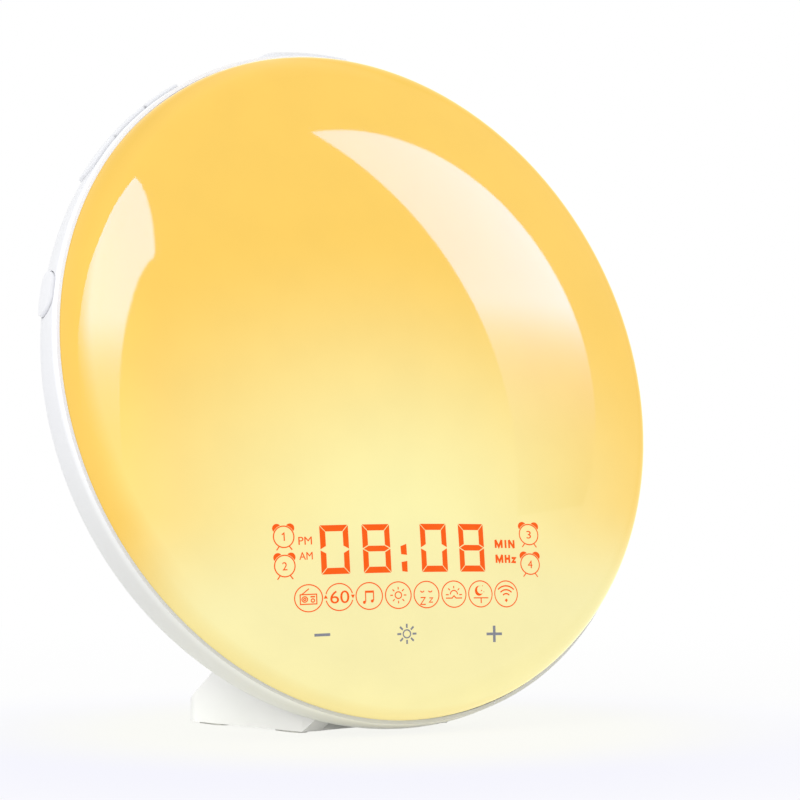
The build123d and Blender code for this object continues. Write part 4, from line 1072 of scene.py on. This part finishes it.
world = bpy.data.worlds.new("studio")
bpy.context.scene.world = world
world.use_nodes = True
sky = world.node_tree
background = sky.nodes["Background"]
background.inputs["Color"].default_value = (1.0, 1.0, 1.0, 1.0)
strength = spread(sky, seen_directly(sky), WORLD_LIGHT, 1.0, 0.0, 1.0)
sky.links.new(strength, background.inputs["Strength"])
print("world as a light:", WORLD_LIGHT)

# %% [markdown]
# ## Camera
#
# A long lens from the front left, almost level with the middle of the face, keeps the circle an even
# oval. The aim is a little off the rim's centre, so that the lamp sits left of the middle of the frame.

# %% Camera
VIEW_FROM = RIM_CENTRE + Vector((-0.48138, -0.69547, -0.01759))
VIEW_TURN = math.radians(34.69)
AIM_RIGHT = 9.78
AIM_UP = -4.99
LENS = 138.67

look = (RIM_CENTRE - VIEW_FROM).normalized()
right = Vector((math.cos(VIEW_TURN), -math.sin(VIEW_TURN), 0.0))
aim = RIM_CENTRE + right * AIM_RIGHT * MM + right.cross(look) * AIM_UP * MM
camera = bpy.data.objects.new("camera", bpy.data.cameras.new("camera"))
camera.data.lens = LENS
camera.data.sensor_width = 36.0
camera.data.clip_start = 0.01
camera.location = VIEW_FROM
camera.rotation_euler = (aim - VIEW_FROM).to_track_quat("-Z", "Y").to_euler()
bpy.context.scene.collection.objects.link(camera)
bpy.context.scene.camera = camera
bpy.context.scene.view_settings.view_transform = "Standard"
print("camera distance:", round((aim - VIEW_FROM).length, 4))

# %% [markdown]
# ## Studio lamps
#
# A wide soft lamp above and to the left of the camera gives the case its shading. The foot stands in the
# bowl's shade, so a low lamp in front lights the foot alone. The lit face warms the table but not the
# white bowl, which stays neutral: each of these pairs is a list of the objects that take the light.

# %% Soft lamps
KEY_PLACE, KEY_WIDTH, KEY_POWER = (-1.3, -0.6, 1.6), 1.2, 12.0
FOOT_PLACE, FOOT_WIDTH, FOOT_POWER = (-0.7, -1.0, 0.3), 0.5, 9.5
FOOT_AIM = (0.0, 0.0, 0.02)
WHITE_LIGHT, WARM_LIGHT = (1.0, 1.0, 1.0), (1.0, 0.985, 0.93)


def light_only(source, name, takers):
    """Let a lamp, or a glowing object, light only the given objects."""
    takers_list = bpy.data.collections.new(name)
    for taker in takers:
        takers_list.objects.link(taker)
    source.light_linking.receiver_collection = takers_list


def soft_lamp(name, place, aim, width, power, colour):
    """A square area lamp that looks at a point."""
    light = bpy.data.lights.new(name, "AREA")
    light.size = width
    light.energy = power
    light.color = colour
    lamp = bpy.data.objects.new(name, light)
    lamp.location = place
    lamp.rotation_euler = (Vector(aim) - Vector(place)).to_track_quat("-Z", "Y").to_euler()
    bpy.context.scene.collection.objects.link(lamp)
    lamp.visible_glossy = False
    return lamp


soft_lamp("key_lamp", KEY_PLACE, RIM_CENTRE, KEY_WIDTH, KEY_POWER, WHITE_LIGHT)
foot_lamp = soft_lamp("foot_lamp", FOOT_PLACE, FOOT_AIM, FOOT_WIDTH, FOOT_POWER, WARM_LIGHT)
light_only(foot_lamp, "foot", [nodes["stand_base"], nodes["stand_cover"], nodes["rubber_feet"]])
light_only(nodes["diffuser_dome"], "warmed_table", [floor])

# %% [markdown]
# ## Softboxes mirrored in the face
#
# A glossy dome mirrors the studio round it, so a studio's soft boxes are shaped until their mirror images
# fall well. Here two curved panels of light do that. Each is drawn as the shape of its mirror image on
# the face, between an outer and an inner edge. A line of sight goes from the camera to each place of that
# shape and on from the dome as from a mirror, and the panel's corner sits three metres along it.
# Only the diffuser takes their light.

# %% Lines of sight by way of the dome
PANEL_AWAY = 3.0
diffuser = nodes["diffuser_dome"]
to_lamp_frame = lamp_frame.inverted()


def mirror_point(x, v):
    """Where a line of sight ends that meets the diffuser at a place and goes on as from a mirror."""
    sight = (lamp_point(x, v, dome_height(x, v)) - VIEW_FROM).normalized()
    hit, skin, _, _ = diffuser.ray_cast(VIEW_FROM, sight)
    assert hit, f"the line of sight to {x}, {v} misses the diffuser"
    place = to_lamp_frame @ skin / MM
    reach = math.hypot(place.x, place.y)
    middle = Vector((0.0, 0.0, -DOME_DROP))
    if reach > SHOULDER_START:
        middle = Vector((place.x, place.y, 0.0)) * (SHOULDER_RING / reach)
    outward = (lamp_frame.to_3x3() @ (place - middle)).normalized()
    return skin + sight.reflect(outward) * PANEL_AWAY


print("the middle of the face mirrors", [round(c, 2) for c in mirror_point(0.0, 0.0)])

# %% [markdown]
# ## The panels themselves
#
# Each panel is a grid of corners, in rows from the outer edge of its mirror image to the inner one.
# Every corner keeps how bright it is, and the panel's material reads that value: full above one level of
# the face, and less and less below it, so that the mirror image fades out downwards.

# %% Panels of light
FADE_REACH = 12.0
FADE_END = -42.0
FADE_TAIL = 30.0
PANEL_COLOUR = (0.42, 0.46, 0.96, 1.0)


def panel_share(v, fade_level):
    """How much of the full light a level of the face gets: all above one level, then less and less."""
    if v >= fade_level:
        return 1.0
    soft = 1.0 / (1.0 + ((fade_level - v) / FADE_REACH) ** 2)
    return soft * max(0.0, min(1.0, (v - FADE_END) / FADE_TAIL))


def smooth_path(points, steps):
    """Points along a smooth curve through a few given ones."""
    ends = [points[0], *points, points[-1]]
    path = []
    for number in range(len(points) - 1):
        a, b, c, d = (Vector(point) for point in ends[number : number + 4])
        for step in range(steps):
            t = step / steps
            bend = 2 * b + (c - a) * t + (2 * a - 5 * b + 4 * c - d) * t**2
            path.append((bend + (3 * b - a - 3 * c + d) * t**3) / 2)
    return [*path, Vector(points[-1])]


def along(path, share):
    """The point at a share of a path's length in points."""
    spot = share * (len(path) - 1)
    first = min(int(spot), len(path) - 2)
    return Vector(path[first]).lerp(Vector(path[first + 1]), spot - first)


def light_panel(name, outer, inner, strength, fade_level, rows=64, columns=16):
    """A panel whose mirror image lies between two edges drawn on the face."""
    panel_mesh = bmesh.new()
    glow = panel_mesh.verts.layers.float.new("glow")
    grid = []
    for row in range(rows + 1):
        start, end = along(outer, row / rows), along(inner, row / rows)
        line = []
        for column in range(columns + 1):
            x, v = start.lerp(end, column / columns)
            corner = panel_mesh.verts.new(mirror_point(x, v))
            corner[glow] = strength * panel_share(v, fade_level)
            line.append(corner)
        grid.append(line)
    for upper, lower in zip(grid, grid[1:]):
        for column in range(columns):
            corners = (upper[column], upper[column + 1], lower[column + 1], lower[column])
            panel_mesh.faces.new(corners)
    mesh = bpy.data.meshes.new(name)
    panel_mesh.to_mesh(mesh)
    panel_mesh.free()
    panel = bpy.data.objects.new(name, mesh)
    bpy.context.scene.collection.objects.link(panel)
    for way in ("camera", "diffuse", "transmission", "volume_scatter", "shadow"):
        setattr(panel, "visible_" + way, False)
    light_only(panel, name + "_face", [diffuser])
    panel.data.materials.append(panel_light)
    print(name, "corners:", len(mesh.vertices))


panel_light, tree, shader = new_finish("panel_light")
glow = add_node(tree, "ShaderNodeAttribute", attribute_name="glow")
even = add_node(tree, "ShaderNodeEmission")
even.inputs["Color"].default_value = PANEL_COLOUR
tree.links.new(glow.outputs["Fac"], even.inputs["Strength"])
tree.links.new(even.outputs["Emission"], tree.nodes["Material Output"].inputs["Surface"])
print("panel light ready")

# %% [markdown]
# ## The two mirror images
#
# The right image is the space between two circles. The left one is a blade with a bend near its top, so
# its edges are smooth curves through a few places each.

# %% Right and left panels
LEFT_OUTER = (
    [(-71.1, 51.9), (-74.2, 48.7), (-78.5, 43.4), (-82.9, 36.4), (-87.1, 28.7), (-90.2, 20.9)]
    + [(-93.0, 11.0), (-94.4, 2.0), (-94.9, -8.8), (-94.8, -16.3), (-94.0, -26.0)]
)
LEFT_INNER = (
    [(-71.1, 51.9), (-69.4, 47.8), (-69.0, 40.0), (-69.6, 32.6), (-70.1, 30.0), (-70.9, 28.6)]
    + [(-72.8, 26.9), (-75.9, 22.4), (-78.7, 16.5), (-81.4, 9.3), (-84.1, -1.6)]
    + [(-85.7, -14.6), (-86.2, -26.0)]
)
PATH_STEPS = 8
ARC_STEPS = 96
RIGHT_STRENGTH, RIGHT_FADE = 22.0, 20.5
LEFT_STRENGTH, LEFT_FADE = 31.0, 15.0

right_outer = arc_points((-2.5, -2.4), 69.9, 101.6, -32.0, steps=ARC_STEPS)
right_inner = arc_points((-69.6, -21.5), 102.7, 58.7, -12.0, steps=ARC_STEPS)
light_panel("right_panel", right_outer, right_inner, RIGHT_STRENGTH, RIGHT_FADE)
left_outer = smooth_path(LEFT_OUTER, PATH_STEPS)
left_inner = smooth_path(LEFT_INNER, PATH_STEPS)
light_panel("left_panel", left_outer, left_inner, LEFT_STRENGTH, LEFT_FADE)
